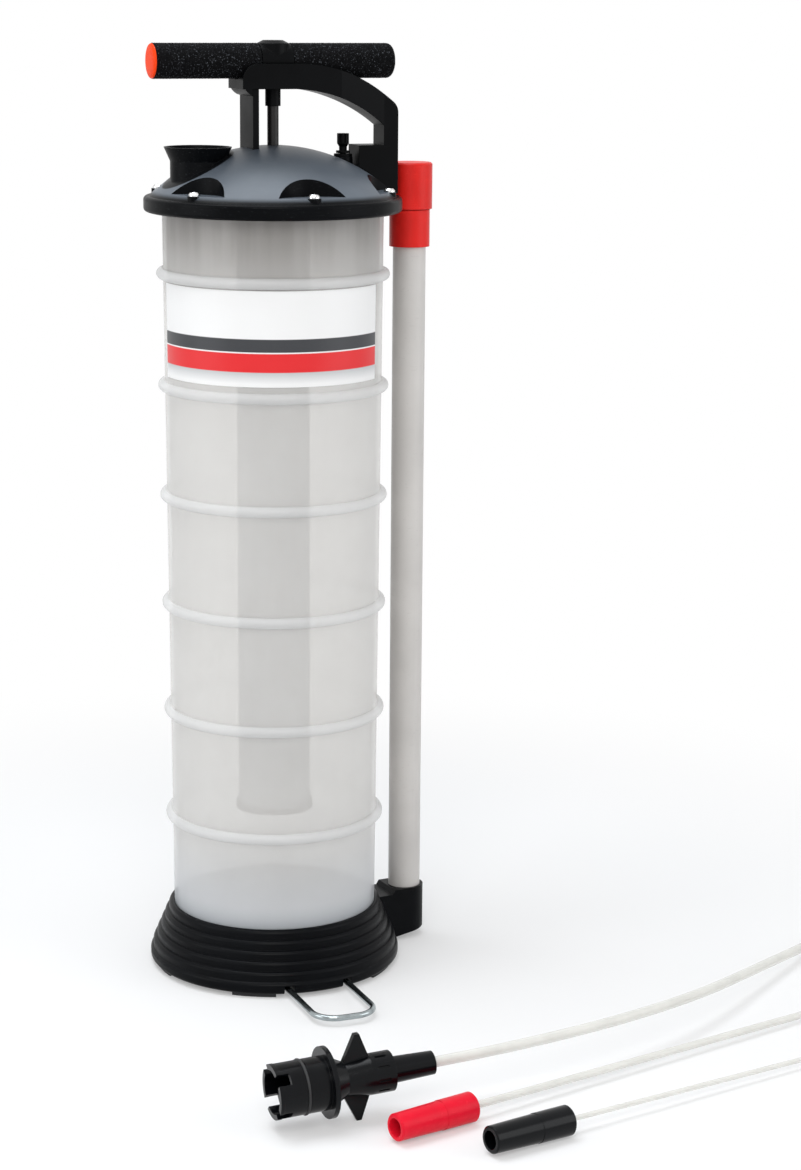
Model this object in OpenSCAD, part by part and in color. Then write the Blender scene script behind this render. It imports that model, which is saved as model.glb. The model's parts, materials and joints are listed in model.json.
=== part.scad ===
// Hand vacuum extractor for waste oil, with its three suction probes laid out in front.
// Frame: origin on the floor below the tank's axis, +Z up, +X along the carry handle, -Y to the front.

/* [Tank] */
// Outer radius of the tank at its underside
tank_foot_r = 68.2; // [64:0.1:71]
// Outer radius of the tank below its flange
tank_top_r = 72.1; // [69:0.1:76]
// Height of the tank from its underside to the top of its flange
tank_h = 501.5; // [490:0.5:560]
// Thickness of the tank's wall
tank_wall = 2.5; // [1.5:0.1:4]
// Thickness of the tank's bottom
tank_floor_t = 3; // [2:0.1:6]
// How far the flange stands out from the wall
flange_out = 8; // [7:0.1:11]
// Thickness of the flange
flange_t = 4.5; // [3:0.1:7]
// Number of stiffening ribs
rib_count = 6; // [3:1:6]
// Height of the lowest rib above the tank's underside
rib_first = 91; // [80:1:100]
// Distance of the highest rib below the tank's top
rib_last = 45.5; // [30:0.5:60]
// How far a rib stands out from the wall
rib_out = 4.5; // [3:0.1:6]
// Height of a rib
rib_tall = 7; // [5:0.1:9]

/* [Label] */
// Gap between the label panel and the rib above it
label_gap = 1; // [0.5:0.5:10]
// Gap between the label panel and the rib below it
label_foot_gap = 4; // [0.5:0.5:20]
// Angle that the panel wraps round the tank
label_wrap = 139; // [60:1:180]
// Direction of the panel's middle, from the front towards +X
label_turn = -23; // [-60:1:60]
// Thickness of the panel
label_t = 0.4; // [0.2:0.05:0.8]

/* [Foot] */
// Height of the foot's upper rim
base_h = 42.5; // [40:0.5:60]
// How far the foot's lowest band stands out from its rim
base_spread = 13.5; // [10:0.5:25]
// Thickness of the rim round the tank
rim_wall = 2.8; // [2:0.1:5]
// Height of the plain lowest band
band_h = 11; // [10:0.5:16]
// Number of ridges above the band
ridge_count = 5; // [4:1:7]
// Height of the foot's lower edge above the floor
skirt_z = 2.5; // [1.5:0.1:4]
// Height of the cup's floor, where the tank stands
cup_z = 14; // [12:0.5:22]
// Thickness of the cup's floor
cup_floor_t = 3; // [2:0.1:4]
// Width of the solid ring along the lower edge
ring_w = 20; // [16:0.5:24]
// Width of a rubber pad
pad_w = 8; // [5:0.5:12]
// How deep the pads sit in the foot
pad_sunk = 1.5; // [0.5:0.1:3]

/* [Stirrup] */
// Radius of the stirrup's wire
wire_r = 2; // [1.5:0.1:2.4]
// Height of the wire's axis above the floor
wire_z = 5.5; // [5:0.1:6.5]
// Distance between the two legs
stirrup_w = 41; // [36:0.1:50]
// Sideways place of the stirrup's middle
stirrup_x = 1.5; // [-4:0.1:10]
// How far the stirrup reaches out of the foot
stirrup_out = 57; // [35:1:80]
// Radius of the stirrup's corners
stirrup_bend = 15; // [8:0.5:18]
// Depth of the guide bar
guide_d = 12; // [8:0.5:16]
// Radius of the stop collar on each leg's inner end
stop_r = 3; // [2.7:0.1:3.4]

/* [Lid] */
// Thickness of the gasket under the lid
gasket_t = 1.5; // [1:0.1:3]
// Thickness of the lid's seat and screw floor
seat_t = 3; // [2.5:0.1:5]
// How far the brim hangs below the seat
brim_drop = 7; // [6:0.1:8]
// Thickness of the brim's wall round the flange
brim_wall = 3.5; // [2.5:0.1:6]
// Rounding of the brim's edges
brim_round = 2.4; // [1:0.1:2.4]
// Rise of the dome above the brim
dome_h = 32.5; // [29:0.5:40]
// Thickness of the dome
dome_t = 3; // [2:0.1:4]
// Radius of the lid screws' shanks
screw_r = 1.95; // [1.5:0.05:2.4]
// Radius of the lid screws' heads
screw_head_r = 3.7; // [3:0.1:4.4]
// Height of the lid screws' heads
screw_head_h = 2.4; // [1.5:0.1:3]
// Height of the screw pockets' floor above the brim
pocket_up = 3.5; // [1:0.1:5]
// How far a screw pocket reaches inwards from its screw
pocket_in = 14; // [10:0.1:16]
// Radius of a screw pocket's wall
pocket_r = 28; // [26:0.5:36]

/* [Spout] */
// Distance of the spout from the tank's axis
spout_x = 51; // [50:0.5:55]
// Radius of the spout's bore, which takes the suction plug
spout_bore_r = 16.6; // [15.5:0.05:17]
// Thickness of the spout's wall
spout_wall = 1.3; // [1.2:0.1:2]
// How far the rim flares out beyond the wall
flare_w = 4; // [2:0.1:4.5]
// Height of the flare
flare_h = 9; // [5:0.5:12]

/* [Carry handle] */
// Height of the T-handle's axis above the dome
grip_lift = 53.5; // [48:0.5:70]
// Half the width of the trough at its open end
trough_half_w = 14.5; // [14:0.1:17]
// Half the width of the leg
leg_half_w = 9.5; // [7:0.1:11]
// Thickness of the leg
leg_t = 10; // [7:0.5:14]
// Length of the trough beyond the rod, on the spout's side
trough_back = 25.2; // [24:0.1:34]
// Length of the level stretch beyond the rod, on the leg's side
trough_level = 12; // [6:1:20]
// Height of the trough's walls above its underside
trough_h = 16; // [14:0.5:20]
// Drop of the arch from the trough to the leg's corner
arch_drop = 27.5; // [22:0.5:32]
// Thickness of the post
post_t = 4; // [3:0.1:6]
// Width of the post
post_w = 26; // [18:0.5:27]
// Distance of the post's near face from the rod
post_gap = 14; // [10:0.5:18]
// Length of the leg's foot block, inwards from the leg's outer face
block_l = 27.5; // [26:0.5:31]
// Height of the foot block's top below the dome's top
block_down = 0.5; // [0:0.5:6]

/* [T-handle] */
// Outer radius of the foam grips
grip_r = 11.2; // [10:0.1:12]
// Length of the whole T-handle
t_len = 166; // [130:1:190]
// Thickness of the end caps
end_cap_t = 3; // [2:0.1:6]
// Radius of the cross bar inside the grips
bar_r = 7.5; // [6:0.1:9]
// Half the length of the hub between the grips
hub_half = 10.5; // [9:0.1:14]
// How far the hub stands above the grips
hub_rise = 1.8; // [0.5:0.1:4]

/* [Pump] */
// Radius of the pump rod
rod_r = 3.7; // [3:0.1:4.5]
// Outer radius of the barrel
barrel_r = 24; // [21:0.5:27]
// Thickness of the barrel's wall
barrel_wall = 2; // [1.5:0.1:3]
// Height of the barrel's lower end above the tank's underside
barrel_up = 98; // [60:1:140]
// How deep the barrel sits in the lid's boss
socket_d = 14; // [10:0.5:16]
// Distance of the barrel's upper end above the lid's seat
barrel_top_up = 23; // [20:0.5:25]
// Thickness of the gland plate
gland_t = 4; // [3:0.1:6]
// Radius of the rod seal
seal_r = 7.5; // [6:0.1:9]
// Height of the rod seal
seal_h = 5; // [3:0.1:5.5]
// Outer radius of the guide bush under the trough
bush_r = 5; // [4.8:0.1:5.4]
// How far the guide bush hangs below the trough
bush_down = 11; // [4:0.5:16]
// Length of the piston body
piston_l = 12; // [8:0.5:20]
// Height of the piston cup
cup_l = 6; // [4:0.5:10]
// Radius of the inlet valve disc
valve_disc_r = 9; // [8:0.1:10]
// Lift of the inlet valve disc
valve_lift = 2; // [1:0.1:3]

/* [Release valve] */
// Distance of the release valve from the handle's foot block
valve_gap = 7.6; // [7:0.1:12]
// Radius of the knob's head
knob_r = 3.9; // [3:0.1:5]
// Height of the knob's head
knob_h = 8.5; // [6:0.1:12]
// Radius of the valve's stem
stem_r = 2.1; // [1.8:0.05:2.3]
// Radius of the seat's flange
valve_flange_r = 6; // [5.5:0.1:6.2]

/* [Side tube] */
// Direction of the side tube, from the handle's direction towards the back
tube_turn = 5; // [0:1:10]
// Outer radius of the side tube
tube_r = 11; // [9.5:0.1:11.5]
// Thickness of the side tube's wall
tube_wall = 1.5; // [1:0.1:2]
// Height of the side tube's lower end
tube_z = 10.5; // [8:0.5:24]
// Distance of the side tube's top below the lid's seat
tube_down = 10; // [5:0.5:40]
// Thickness of the socket round the side tube
socket_wall = 2; // [1.5:0.1:4]
// Height of the socket's top
socket_top = 37.5; // [34:0.5:60]
// Outer radius of the red collar
collar_r = 13.5; // [12.8:0.1:14]
// Height of the red collar
collar_h = 24.5; // [15:0.5:40]
// Radius of the red cap
cap_r = 15; // [14:0.1:17]
// Height of the red cap
cap_h = 30.5; // [20:0.5:40]
// Thickness of the red cap's walls
cap_wall = 3; // [2:0.1:4]
// Length of the cap's spigot in the tube
spigot_l = 12; // [6:0.5:20]
// Gap between the lid's brim and the red cap
cap_gap = 1; // [0.5:0.1:4]

/* [Suction plug] */
// Radius of the plug's body, which goes into the spout
plug_r = 16.1; // [15:0.05:16.2]
// Length of the plug's body, with its prongs
plug_body_l = 32; // [28:0.5:44]
// Wall of the plug's hollow body
plug_wall = 3; // [2:0.1:4]
// Length of the bayonet prongs
prong_l = 8; // [5:0.5:10]
// Radius of the plug's flange
plug_flange_r = 21.3; // [19:0.1:23]
// Thickness of the plug's flange
plug_flange_t = 3; // [2:0.1:5]
// Radius of the plug's neck and ribbed stretch
neck_r = 12.2; // [11:0.1:13]
// Length of the neck, up to the nozzle
neck_l = 39; // [36:0.5:60]
// Distance of the fins' tips from the plug's axis
fin_r = 27; // [24:0.1:32]
// Thickness of the fins
fin_t = 3.6; // [2:0.1:5]
// Radius of the nozzle at the neck
nozzle_r = 8; // [7.6:0.1:9]
// Radius of the nozzle's mouth
nozzle_tip_r = 7.1; // [6:0.1:7.5]
// Length of the nozzle
nozzle_l = 27; // [20:0.5:40]

/* [Probe tubes] */
// Outer radius of the large tube
large_r = 3.2; // [2.5:0.05:4]
// Outer radius of the medium tube
medium_r = 2.3; // [1.8:0.05:2.8]
// Outer radius of the small tube
small_r = 1.6; // [1.2:0.05:2.2]
// Share of a tube's radius that is wall
tube_wall_share = 0.35; // [0.2:0.01:0.5]
// Free length of each probe tube
probe_l = 420; // [250:5:460]
// How deep a tube sits in its plug or sleeve
probe_seat = 18; // [10:0.5:20]

/* [Sleeves] */
// Length of a sleeve
sleeve_l = 56; // [40:0.5:70]
// Radius of a sleeve at its mouth
sleeve_mouth_r = 8.2; // [7.5:0.1:9]
// Radius of a sleeve at its tube
sleeve_tail_r = 9.1; // [8:0.1:11]
// Radius of a sleeve's bore
sleeve_bore_r = 5.6; // [4:0.1:6]
// Depth of a sleeve's bore
sleeve_bore_d = 26; // [15:0.5:28]

/* [Fits] */
// Play of a running fit, on the radius
run_fit = 0.06; // [0.02:0.01:0.1]
// Play between fixed pieces that slip together
slip_fit = 0.2; // [0.1:0.05:0.3]
// Play round a piece that passes freely
free_gap = 0.5; // [0.3:0.05:0.7]

/* [Hidden] */
$fn = 96;
// Overlap that fuses stacked shapes
eps = 0.01;
// How far a cut runs past the face that it opens
over = 1;
// Length of a cut that runs right out of the model
far = 300;

// Radius of the circle that spans a run with the given drop from its level end.
function arc_r(run, drop) = (run * run + drop * drop) / (2 * drop);
// Drop of that circle at a distance from its level end.
function arc_fall(r, x) = r - sqrt(r * r - x * x);

// Tank heights and radii
tank_z = cup_z;
flange_top_z = tank_z + tank_h;
flange_z = flange_top_z - flange_t;
flange_r = tank_top_r + flange_out;
tank_bore_r = tank_top_r - tank_wall;
function tank_r(z) = tank_foot_r + (tank_top_r - tank_foot_r) * (z - tank_z) / (flange_z - tank_z);
rib_land = 1;
rib_pitch = (tank_h - rib_last - rib_first) / (rib_count - 1);
label_top_z = flange_top_z - rib_last - rib_tall / 2 - label_gap;
label_h = rib_pitch - rib_tall - label_gap - label_foot_gap;
label_z = label_top_z - label_h;

// Foot
cup_r = max(tank_r(base_h), tank_foot_r) + slip_fit;
rim_r = cup_r + rim_wall;
base_r = rim_r + base_spread;
ridge_h = (base_h - band_h) / ridge_count;
ridge_step = base_spread / ridge_count;
ridge_nose_share = 0.46;
ridge_nose = ridge_h * ridge_nose_share;
// Share of a step by which each ridge starts further in than the one below
ridge_lead = 0.7;
band_round = 3;
ring_in_r = base_r - ring_w;
cup_under_z = cup_z - cup_floor_t;
pad_place = 0.62;
pad_mid_r = ring_in_r + ring_w * pad_place;
pad_gap = 0.1;
// Start and end of each pad, as angles from the front towards +X
PADS = [[-40, -19], [35, 60], [80, 280]];

// Stirrup
leg_x = [stirrup_x - stirrup_w / 2, stirrup_x + stirrup_w / 2];
stirrup_tip_y = -(base_r + stirrup_out) + wire_r;
guide_margin = 4.5;
guide_side_x = stirrup_x + stirrup_w / 2 + wire_r + guide_margin;
guide_inset = 1;
guide_front_y = -sqrt(ring_in_r ^ 2 - guide_side_x ^ 2) + guide_inset;
guide_back_y = guide_front_y + guide_d;
guide_lift = 0.1;
guide_z = skirt_z + guide_lift;
stop_l = 4;
stop_y = guide_back_y + free_gap;
notch_gap = 1.2;
notch_w = 2 * (wire_r + notch_gap);
notch_roof_gap = 1;
notch_top_z = wire_z + wire_r + notch_roof_gap;
guide_screw_r = 1.5;
guide_screw_head_r = 2.8;
guide_screw_head_h = 1.6;
guide_screw_bite = 1.5;
guide_screw_sink = 0.2;
guide_screw_edge = 2;

// Lid
seat_z = flange_top_z + gasket_t;
brim_r = flange_r + 2 * slip_fit + brim_wall;
brim_z = seat_z - brim_drop;
brim_top_z = seat_z + seat_t;
dome_edge_r = brim_r - brim_wall;
dome_r = arc_r(dome_edge_r, dome_h);
dome_top_z = brim_top_z + dome_h;
dome_mid_z = dome_top_z - dome_r;
function dome_z(x) = dome_top_z - arc_fall(dome_r, x);
lid_ring_in = 2.6;
lid_cavity_r = tank_bore_r - lid_ring_in;
screw_ring_r = tank_top_r + flange_out / 2;
screw_count = 6;
screw_hole_r = screw_r + slip_fit;
screw_turn = 20;
screw_cone_share = 0.5;
screw_top_share = 0.7;
slot_l_share = 1.1;
slot_w = 1;
slot_d = 1;
pocket_mid_r = screw_ring_r - pocket_in + pocket_r;
pocket_z = brim_top_z + pocket_up;
pocket_wall = 2;
screw_land_edge = 0.8;

// Spout
spout_r = spout_bore_r + spout_wall;
spout_down = 0.5;
spout_rim_z = dome_top_z - spout_down;
flare_z = spout_rim_z - flare_h;
spout_end_up = 2;
spout_end_z = seat_z + spout_end_up;

// Pump, from the lid downwards
barrel_top_z = seat_z + barrel_top_up;
barrel_z = tank_z + barrel_up;
barrel_bore_r = barrel_r - barrel_wall;
boss_wall = 4;
boss_r = barrel_r + boss_wall;
// How deep a boss or socket reaches into the dome's wall
boss_root = 1;
boss_z = barrel_top_z - socket_d;
foot_plug_l = 10;
foot_plate_t = 4;
foot_plate_edge = 2;
valve_seat_z = barrel_z + foot_plug_l;
valve_disc_t = 1.5;
valve_pin_r = 2;
valve_rest_gap = 0.3;
valve_head_z = valve_seat_z + valve_rest_gap + valve_disc_t + valve_lift + free_gap;
valve_head_t = 1.4;
valve_head_r = 4.5;
rivet_head_r = 3.5;
air_hole_r = 1.6;
air_hole_ring_r = 5.8;
air_hole_count = 6;
piston_nut_h = 4;
piston_nut_r = 6.5;
piston_washer_t = 3;
washer_edge = 4;
piston_washer_r = barrel_bore_r - washer_edge;
piston_rest_gap = 2;
rod_end_z = valve_head_z + valve_head_t + piston_rest_gap;
washer_z = rod_end_z + piston_nut_h;
cup_ring_z = washer_z + piston_washer_t;
piston_z = cup_ring_z + cup_l;

// T-handle and carry handle
grip_z = dome_top_z + grip_lift;
channel_gap = 0.4;
channel_r = grip_r + channel_gap;
trough_floor_z = grip_z - channel_r;
trough_floor_t = 6;
trough_under_z = trough_floor_z - trough_floor_t;
trough_top_z = trough_under_z + trough_h;
trough_corner = 10.5;
leg_inset = 0.4;
leg_out_x = brim_r - leg_inset;
leg_in_x = leg_out_x - leg_t;
arch_r = arc_r(leg_out_x - trough_level, arch_drop);
arch_mid_z = trough_top_z - arch_r;
// Rounded corner between the arch and the leg's outer face, touching both
corner_round = 9;
corner_x = leg_out_x - corner_round;
corner_z = arch_mid_z + sqrt((arch_r - corner_round) ^ 2 - (corner_x - trough_level) ^ 2);
corner_turn = atan2(corner_z - arch_mid_z, corner_x - trough_level);
under_level = 8;
corner_thinning = 3.6;
under_drop = arch_drop - corner_thinning;
under_r = arc_r(leg_in_x - under_level, under_drop);
taper_start_x = 42;
block_in_x = leg_out_x - block_l;
block_top_z = dome_top_z - block_down;
post_far_x = -post_gap - post_t;
post_foot_up = 4;
post_foot_z = barrel_top_z + post_foot_up;
bar_half = t_len / 2 - end_cap_t;
hub_top_z = grip_z + grip_r + hub_rise;
hub_round = 4;
hub_bevel_h = 2;
rod_cover = 1;
rod_top_z = grip_z + bar_r - rod_cover;
bush_sunk = 1.5;
end_cap_in = 1;
end_cap_r = grip_r - end_cap_in;
end_cap_edge = 1;
handle_screw_r = 1.9;
handle_screw_head_r = 3.4;
handle_screw_head_h = 2.2;
handle_screw_in = 6;
handle_screw_x = block_in_x + handle_screw_in;
handle_screw_edge = 4.5;
handle_screw_y = leg_half_w - handle_screw_edge;
handle_screw_bite = 9;
handle_screw_boss_l = 5;
handle_screw_dome_z = dome_z(sqrt(handle_screw_x ^ 2 + handle_screw_y ^ 2));
handle_screw_seat_z = handle_screw_dome_z - dome_t - handle_screw_boss_l;
handle_screw_tip_z = handle_screw_dome_z + handle_screw_bite;
handle_screw_boss_r = 4.4;

// Release valve
valve_x = block_in_x - valve_gap;
valve_boss_edge = 0.4;
valve_boss_r = valve_flange_r + valve_boss_edge;
valve_boss_up = 2.4;
valve_boss_z = dome_z(valve_x) + valve_boss_up;
valve_boss_l = 10;
valve_flange_t = 2;
seat_tube_wall = 1.5;
seat_tube_r = stem_r + seat_tube_wall;
seat_tube_l = 14;
seat_end_z = valve_boss_z - seat_tube_l;
knob_collar_z = valve_boss_z + valve_flange_t + free_gap;
knob_collar_r = 4.6;
knob_collar_t = 1.5;
knob_neck_r = 2.6;
knob_neck_l = 2.6;
knob_head_z = knob_collar_z + knob_collar_t + knob_neck_l;
knob_flare_h = 2;
knob_notch_count = 8;
knob_notch_w = 1.2;
knob_notch_d = 1.1;
knob_notch_up = 0.5;
knob_dimple_share = 0.45;
knob_dimple_d = 1.2;
valve_rubber_r = 5;
valve_rubber_t = 2.2;
valve_rubber_z = seat_end_z - free_gap - valve_rubber_t;

// Side tube
tube_x = brim_r + cap_gap + cap_r;
tube_bore_r = tube_r - tube_wall;
tube_top_z = seat_z - tube_down;
socket_r = tube_r + slip_fit + socket_wall;
web_down = 3;
web_top_z = socket_top - web_down;
web_root = 1;
web_in_x = cup_r - web_root;
web_slope = 2;
socket_floor_t = 3;
socket_under_z = tube_z - socket_floor_t;
collar_lip = 1.5;
collar_top_z = tube_top_z + collar_lip;
cap_z = collar_top_z + free_gap;
cap_edge = 1;
spigot_wall = 1.6;

// Probes: place of the tube's exit on the floor plan and direction of the probe
large_x = -1.2;
large_y = -281;
large_turn = 0;
medium_x = 13;
medium_y = -307.5;
medium_turn = 14.3;
small_x = 57.6;
small_y = -345.7;
small_turn = 11.8;
plug_flange_s = plug_body_l;
neck_s = plug_flange_s + plug_flange_t;
nozzle_s = neck_s + neck_l;
plug_l = nozzle_s + nozzle_l;
fin_start = 8;
fin_s = neck_s + fin_start;
fin_tip_at = 10;
fin_tip_s = fin_s + fin_tip_at;
fin_tip_w = 3;
fin_l = 17;
fin_end_s = fin_s + fin_l;
waist_in = 2;
waist_r = neck_r - waist_in;
waist_cone_l = 2;
waist_cone_out = 3;
fin_root = 1;
prong_count = 4;
prong_gap = 7;
hook_l = 2.5;
hook_out = 0.3;
seal_at = 9;
seal_s = prong_l + seal_at;
seal_groove_d = 1.2;
seal_groove_r = plug_r - seal_groove_d;
seal_side_gap = 0.1;
ring_r = 0.9;
hollow_end_t = 2;
rib_margin = 3;
rib_end_margin = 4;
rib_s = fin_end_s + rib_margin;
rib_w = 1.6;
rib_deep = 1;
plug_rib_count = 10;
// The plug lies on its lower fin, with its axis rising towards the tube.
plug_tilt = 2;
large_exit_z = fin_r * cos(plug_tilt) + (plug_l - fin_tip_s + fin_tip_w / 2) * sin(plug_tilt);
// The large tube bends evenly from the plug, and then runs straight down to the floor.
large_bend = 36;
large_bend_share = 0.62;
large_bend_l = probe_l * large_bend_share;
large_bend_r = large_bend_l / large_bend * 180 / PI;
large_end_l = probe_l - large_bend_l;
bend_run = large_bend_r * sin(large_bend) + large_end_l * cos(large_bend);
bend_side = large_bend_r * (1 - cos(large_bend)) + large_end_l * sin(large_bend);
bend_drop = large_exit_z - large_r + bend_run * sin(plug_tilt);
bend_roll = -asin(bend_drop / (bend_side * cos(plug_tilt)));
// The bend is a touch thicker than the straight stretches, which lap into it.
bend_step = 0.04;
bend_lap = 0.5;
sleeve_step = 0.25;
sleeve_step_at = 0.58;
sleeve_edge = 0.8;
probe_seat_gap = 0.1;
// The medium and small tubes are necked where they sit in their sleeves.
probe_neck = 0.25;
probe_neck_out = 0.5;

module ring(r_out, r_in, z0, z1) {
    difference() {
        translate([0, 0, z0]) cylinder(r = r_out, h = z1 - z0);
        translate([0, 0, z0 - over]) cylinder(r = r_in, h = z1 - z0 + 2 * over);
    }
}

module hex_bar(across, h) {
    cylinder(r = across / 2 / cos(30), h = h, $fn = 6);
}

// Extrudes an outline drawn in X and Z along Y, half to each side.
module along_y(width) {
    translate([0, width / 2, 0]) rotate([90, 0, 0]) linear_extrude(width) children();
}

// Lays a probe out from its own axis (+X, tail to tip), with its tube's exit at the given place.
module lay_probe(x, y, z, tilt, turn, exit_s) {
    translate([x, y, z]) rotate([0, tilt, turn]) translate([-exit_s, 0, 0]) children();
}

module lay_large() {
    lay_probe(large_x, large_y, large_exit_z, -plug_tilt, large_turn, plug_l) children();
}

// A sleeve touches the floor at its tube's end, and its tube touches it at the tip.
module lay_sleeve(x, y, turn, r) {
    tilt = atan((sleeve_tail_r - r) / probe_l);
    lay_probe(x, y, sleeve_tail_r * cos(tilt), tilt, turn, sleeve_l) children();
}

module lay_medium() {
    lay_sleeve(medium_x, medium_y, medium_turn, medium_r) children();
}

module lay_small() {
    lay_sleeve(small_x, small_y, small_turn, small_r) children();
}

// Cylinder or cone along +X from s0 to s1
module rod_x(s0, s1, r0, r1) {
    translate([s0, 0, 0]) rotate([0, 90, 0]) cylinder(r1 = r0, r2 = r1, h = s1 - s0);
}

module foot_profile() {
    in_r = cup_r - over;
    translate([in_r, skirt_z]) square([base_r - band_round - in_r, band_h - skirt_z]);
    translate([in_r, skirt_z + band_round])
        square([base_r - in_r, band_h - skirt_z - 2 * band_round]);
    for (z = [skirt_z + band_round, band_h - band_round])
        translate([base_r - band_round, z]) circle(band_round);
    for (i = [0 : ridge_count - 1]) {
        nose_r = base_r - (i + ridge_lead) * ridge_step;
        z = band_h + i * ridge_h;
        translate([in_r, z - over]) square([nose_r - ridge_nose - in_r, ridge_h + over]);
        translate([nose_r - ridge_nose, z + ridge_h - ridge_nose]) circle(ridge_nose);
        translate([in_r, z - over]) square([nose_r - in_r, ridge_h - ridge_nose + over]);
    }
}

module bracket() {
    rotate([0, 0, tube_turn]) intersection() {
        union() {
            translate([tube_x, 0, 0]) cylinder(r = socket_r, h = socket_top);
            translate([0, -socket_r, 0]) cube([tube_x, 2 * socket_r, socket_top]);
        }
        along_y(4 * socket_r) polygon([
            [web_in_x, skirt_z],
            [base_r - web_slope, skirt_z],
            [tube_x + socket_r, socket_under_z],
            [tube_x + socket_r, socket_top],
            [tube_x - socket_r, socket_top],
            [tube_x - socket_r - web_slope, web_top_z],
            [web_in_x, web_top_z]
        ]);
    }
}

module pad_ring(grow, z0, z1) {
    for (p = PADS)
        rotate([0, 0, p[0] - 90 - grow]) rotate_extrude(angle = p[1] - p[0] + 2 * grow)
            translate([pad_mid_r - pad_w / 2 - grow, z0]) square([pad_w + 2 * grow, z1 - z0]);
}

module base_foot() {
    color([0.07, 0.08, 0.1]) difference() {
        union() {
            rotate_extrude() foot_profile();
            translate([0, 0, cup_under_z]) cylinder(r = cup_r, h = cup_floor_t);
            rotate_extrude() translate([ring_in_r, skirt_z])
                square([cup_r - ring_in_r + over, cup_z - skirt_z]);
            bracket();
        }
        translate([0, 0, cup_z]) cylinder(r = cup_r, h = base_h);
        translate([0, 0, -over]) cylinder(r = ring_in_r, h = cup_under_z + over);
        for (x = leg_x) translate([x - notch_w / 2, -base_r - over, -over])
            cube([notch_w, base_r + guide_back_y + over, notch_top_z + over]);
        pad_ring(pad_gap, -over, skirt_z + pad_sunk);
        rotate([0, 0, tube_turn]) translate([tube_x, 0, tube_z])
            cylinder(r = tube_r + slip_fit, h = socket_top);
        at_guide_screws() translate([0, 0, cup_under_z - over])
            cylinder(r = guide_screw_r + run_fit, h = guide_screw_bite + over);
    }
}

module foot_pads() {
    color([0.13, 0.13, 0.13]) pad_ring(0, 0, skirt_z + pad_sunk - pad_gap);
}

// The guide's screws stand just inside the stirrup's legs.
module at_guide_screws() {
    inwards = wire_r + guide_screw_head_r + guide_screw_edge;
    mid_y = (guide_front_y + guide_back_y) / 2;
    for (x = [leg_x[0] + inwards, leg_x[1] - inwards]) translate([x, mid_y, 0]) children();
}

module foot_stirrup() {
    bend_y = stirrup_tip_y + stirrup_bend;
    color([0.72, 0.74, 0.76]) translate([0, 0, wire_z]) {
        for (x = leg_x) {
            translate([x, bend_y, 0]) rotate([-90, 0, 0])
                cylinder(r = wire_r, h = stop_y + stop_l / 2 - bend_y);
            translate([x, stop_y, 0]) rotate([-90, 0, 0]) cylinder(r = stop_r, h = stop_l);
        }
        translate([leg_x[0] + stirrup_bend, bend_y, 0]) stirrup_corner(180);
        translate([leg_x[1] - stirrup_bend, bend_y, 0]) stirrup_corner(270);
        translate([0, stirrup_tip_y, 0])
            rod_x(leg_x[0] + stirrup_bend, leg_x[1] - stirrup_bend, wire_r, wire_r);
    }
}

module stirrup_corner(start) {
    rotate([0, 0, start]) rotate_extrude(angle = 90) translate([stirrup_bend, 0]) circle(wire_r);
}

module stirrup_guide() {
    side = guide_side_x - stirrup_x;
    color([0.1, 0.1, 0.11]) difference() {
        translate([stirrup_x - side, guide_front_y, guide_z])
            cube([2 * side, guide_d, cup_under_z - guide_z]);
        for (x = leg_x) translate([x, guide_front_y - over, wire_z]) rotate([-90, 0, 0])
            cylinder(r = wire_r + run_fit, h = guide_d + 2 * over);
        at_guide_screws() translate([0, 0, guide_z - over]) {
            cylinder(r = guide_screw_r + slip_fit, h = far);
            cylinder(r = guide_screw_head_r + slip_fit, h = guide_screw_head_h + guide_screw_sink + over);
        }
    }
}

module guide_screws() {
    head_z = guide_z + guide_screw_sink;
    color([0.75, 0.75, 0.77]) at_guide_screws() translate([0, 0, head_z]) {
        cylinder(r = guide_screw_head_r, h = guide_screw_head_h);
        cylinder(r = guide_screw_r, h = cup_under_z + guide_screw_bite - slip_fit - head_z);
    }
}

module tank_wall_profile(inset, z0, z1) {
    polygon([
        [0, z0],
        [tank_r(z0) - inset, z0],
        [tank_r(z1) - inset, z1],
        [0, z1]
    ]);
}

module tank() {
    color([0.88, 0.88, 0.86, 0.6]) difference() {
        rotate_extrude() {
            tank_wall_profile(0, tank_z, flange_top_z);
            translate([tank_bore_r, flange_z]) square([flange_r - tank_bore_r, flange_t]);
            for (i = [0 : rib_count - 1]) {
                z = tank_z + rib_first + i * rib_pitch;
                nose = rib_tall / 2;
                translate([tank_r(z) - rib_land, z - nose]) square([rib_land + rib_out - nose, rib_tall]);
                translate([tank_r(z) + rib_out - nose, z]) circle(nose);
            }
        }
        rotate_extrude() tank_wall_profile(tank_wall, tank_z + tank_floor_t, flange_top_z + over);
        at_lid_screws() translate([0, 0, flange_z - over])
            cylinder(r = screw_r + run_fit, h = flange_t + 2 * over);
    }
}

module label_panel() {
    color([0.95, 0.95, 0.95]) rotate([0, 0, label_turn - 90 - label_wrap / 2])
        rotate_extrude(angle = label_wrap) polygon([
            [tank_r(label_z), label_z],
            [tank_r(label_z) + label_t, label_z],
            [tank_r(label_top_z) + label_t, label_top_z],
            [tank_r(label_top_z), label_top_z]
        ]);
}

module at_lid_screws() {
    for (i = [0 : screw_count - 1])
        rotate([0, 0, -90 + i * 360 / screw_count]) translate([screw_ring_r, 0, 0]) children();
}

module brim_profile() {
    h = brim_top_z - brim_z;
    translate([0, brim_z + brim_round]) square([brim_r, h - 2 * brim_round]);
    translate([0, brim_z]) square([brim_r - brim_round, h]);
    for (z = [brim_z + brim_round, brim_top_z - brim_round])
        translate([brim_r - brim_round, z]) circle(brim_round);
}

module dome_ball(grow) {
    translate([0, 0, dome_mid_z]) sphere(dome_r + grow, $fn = 180);
}

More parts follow.
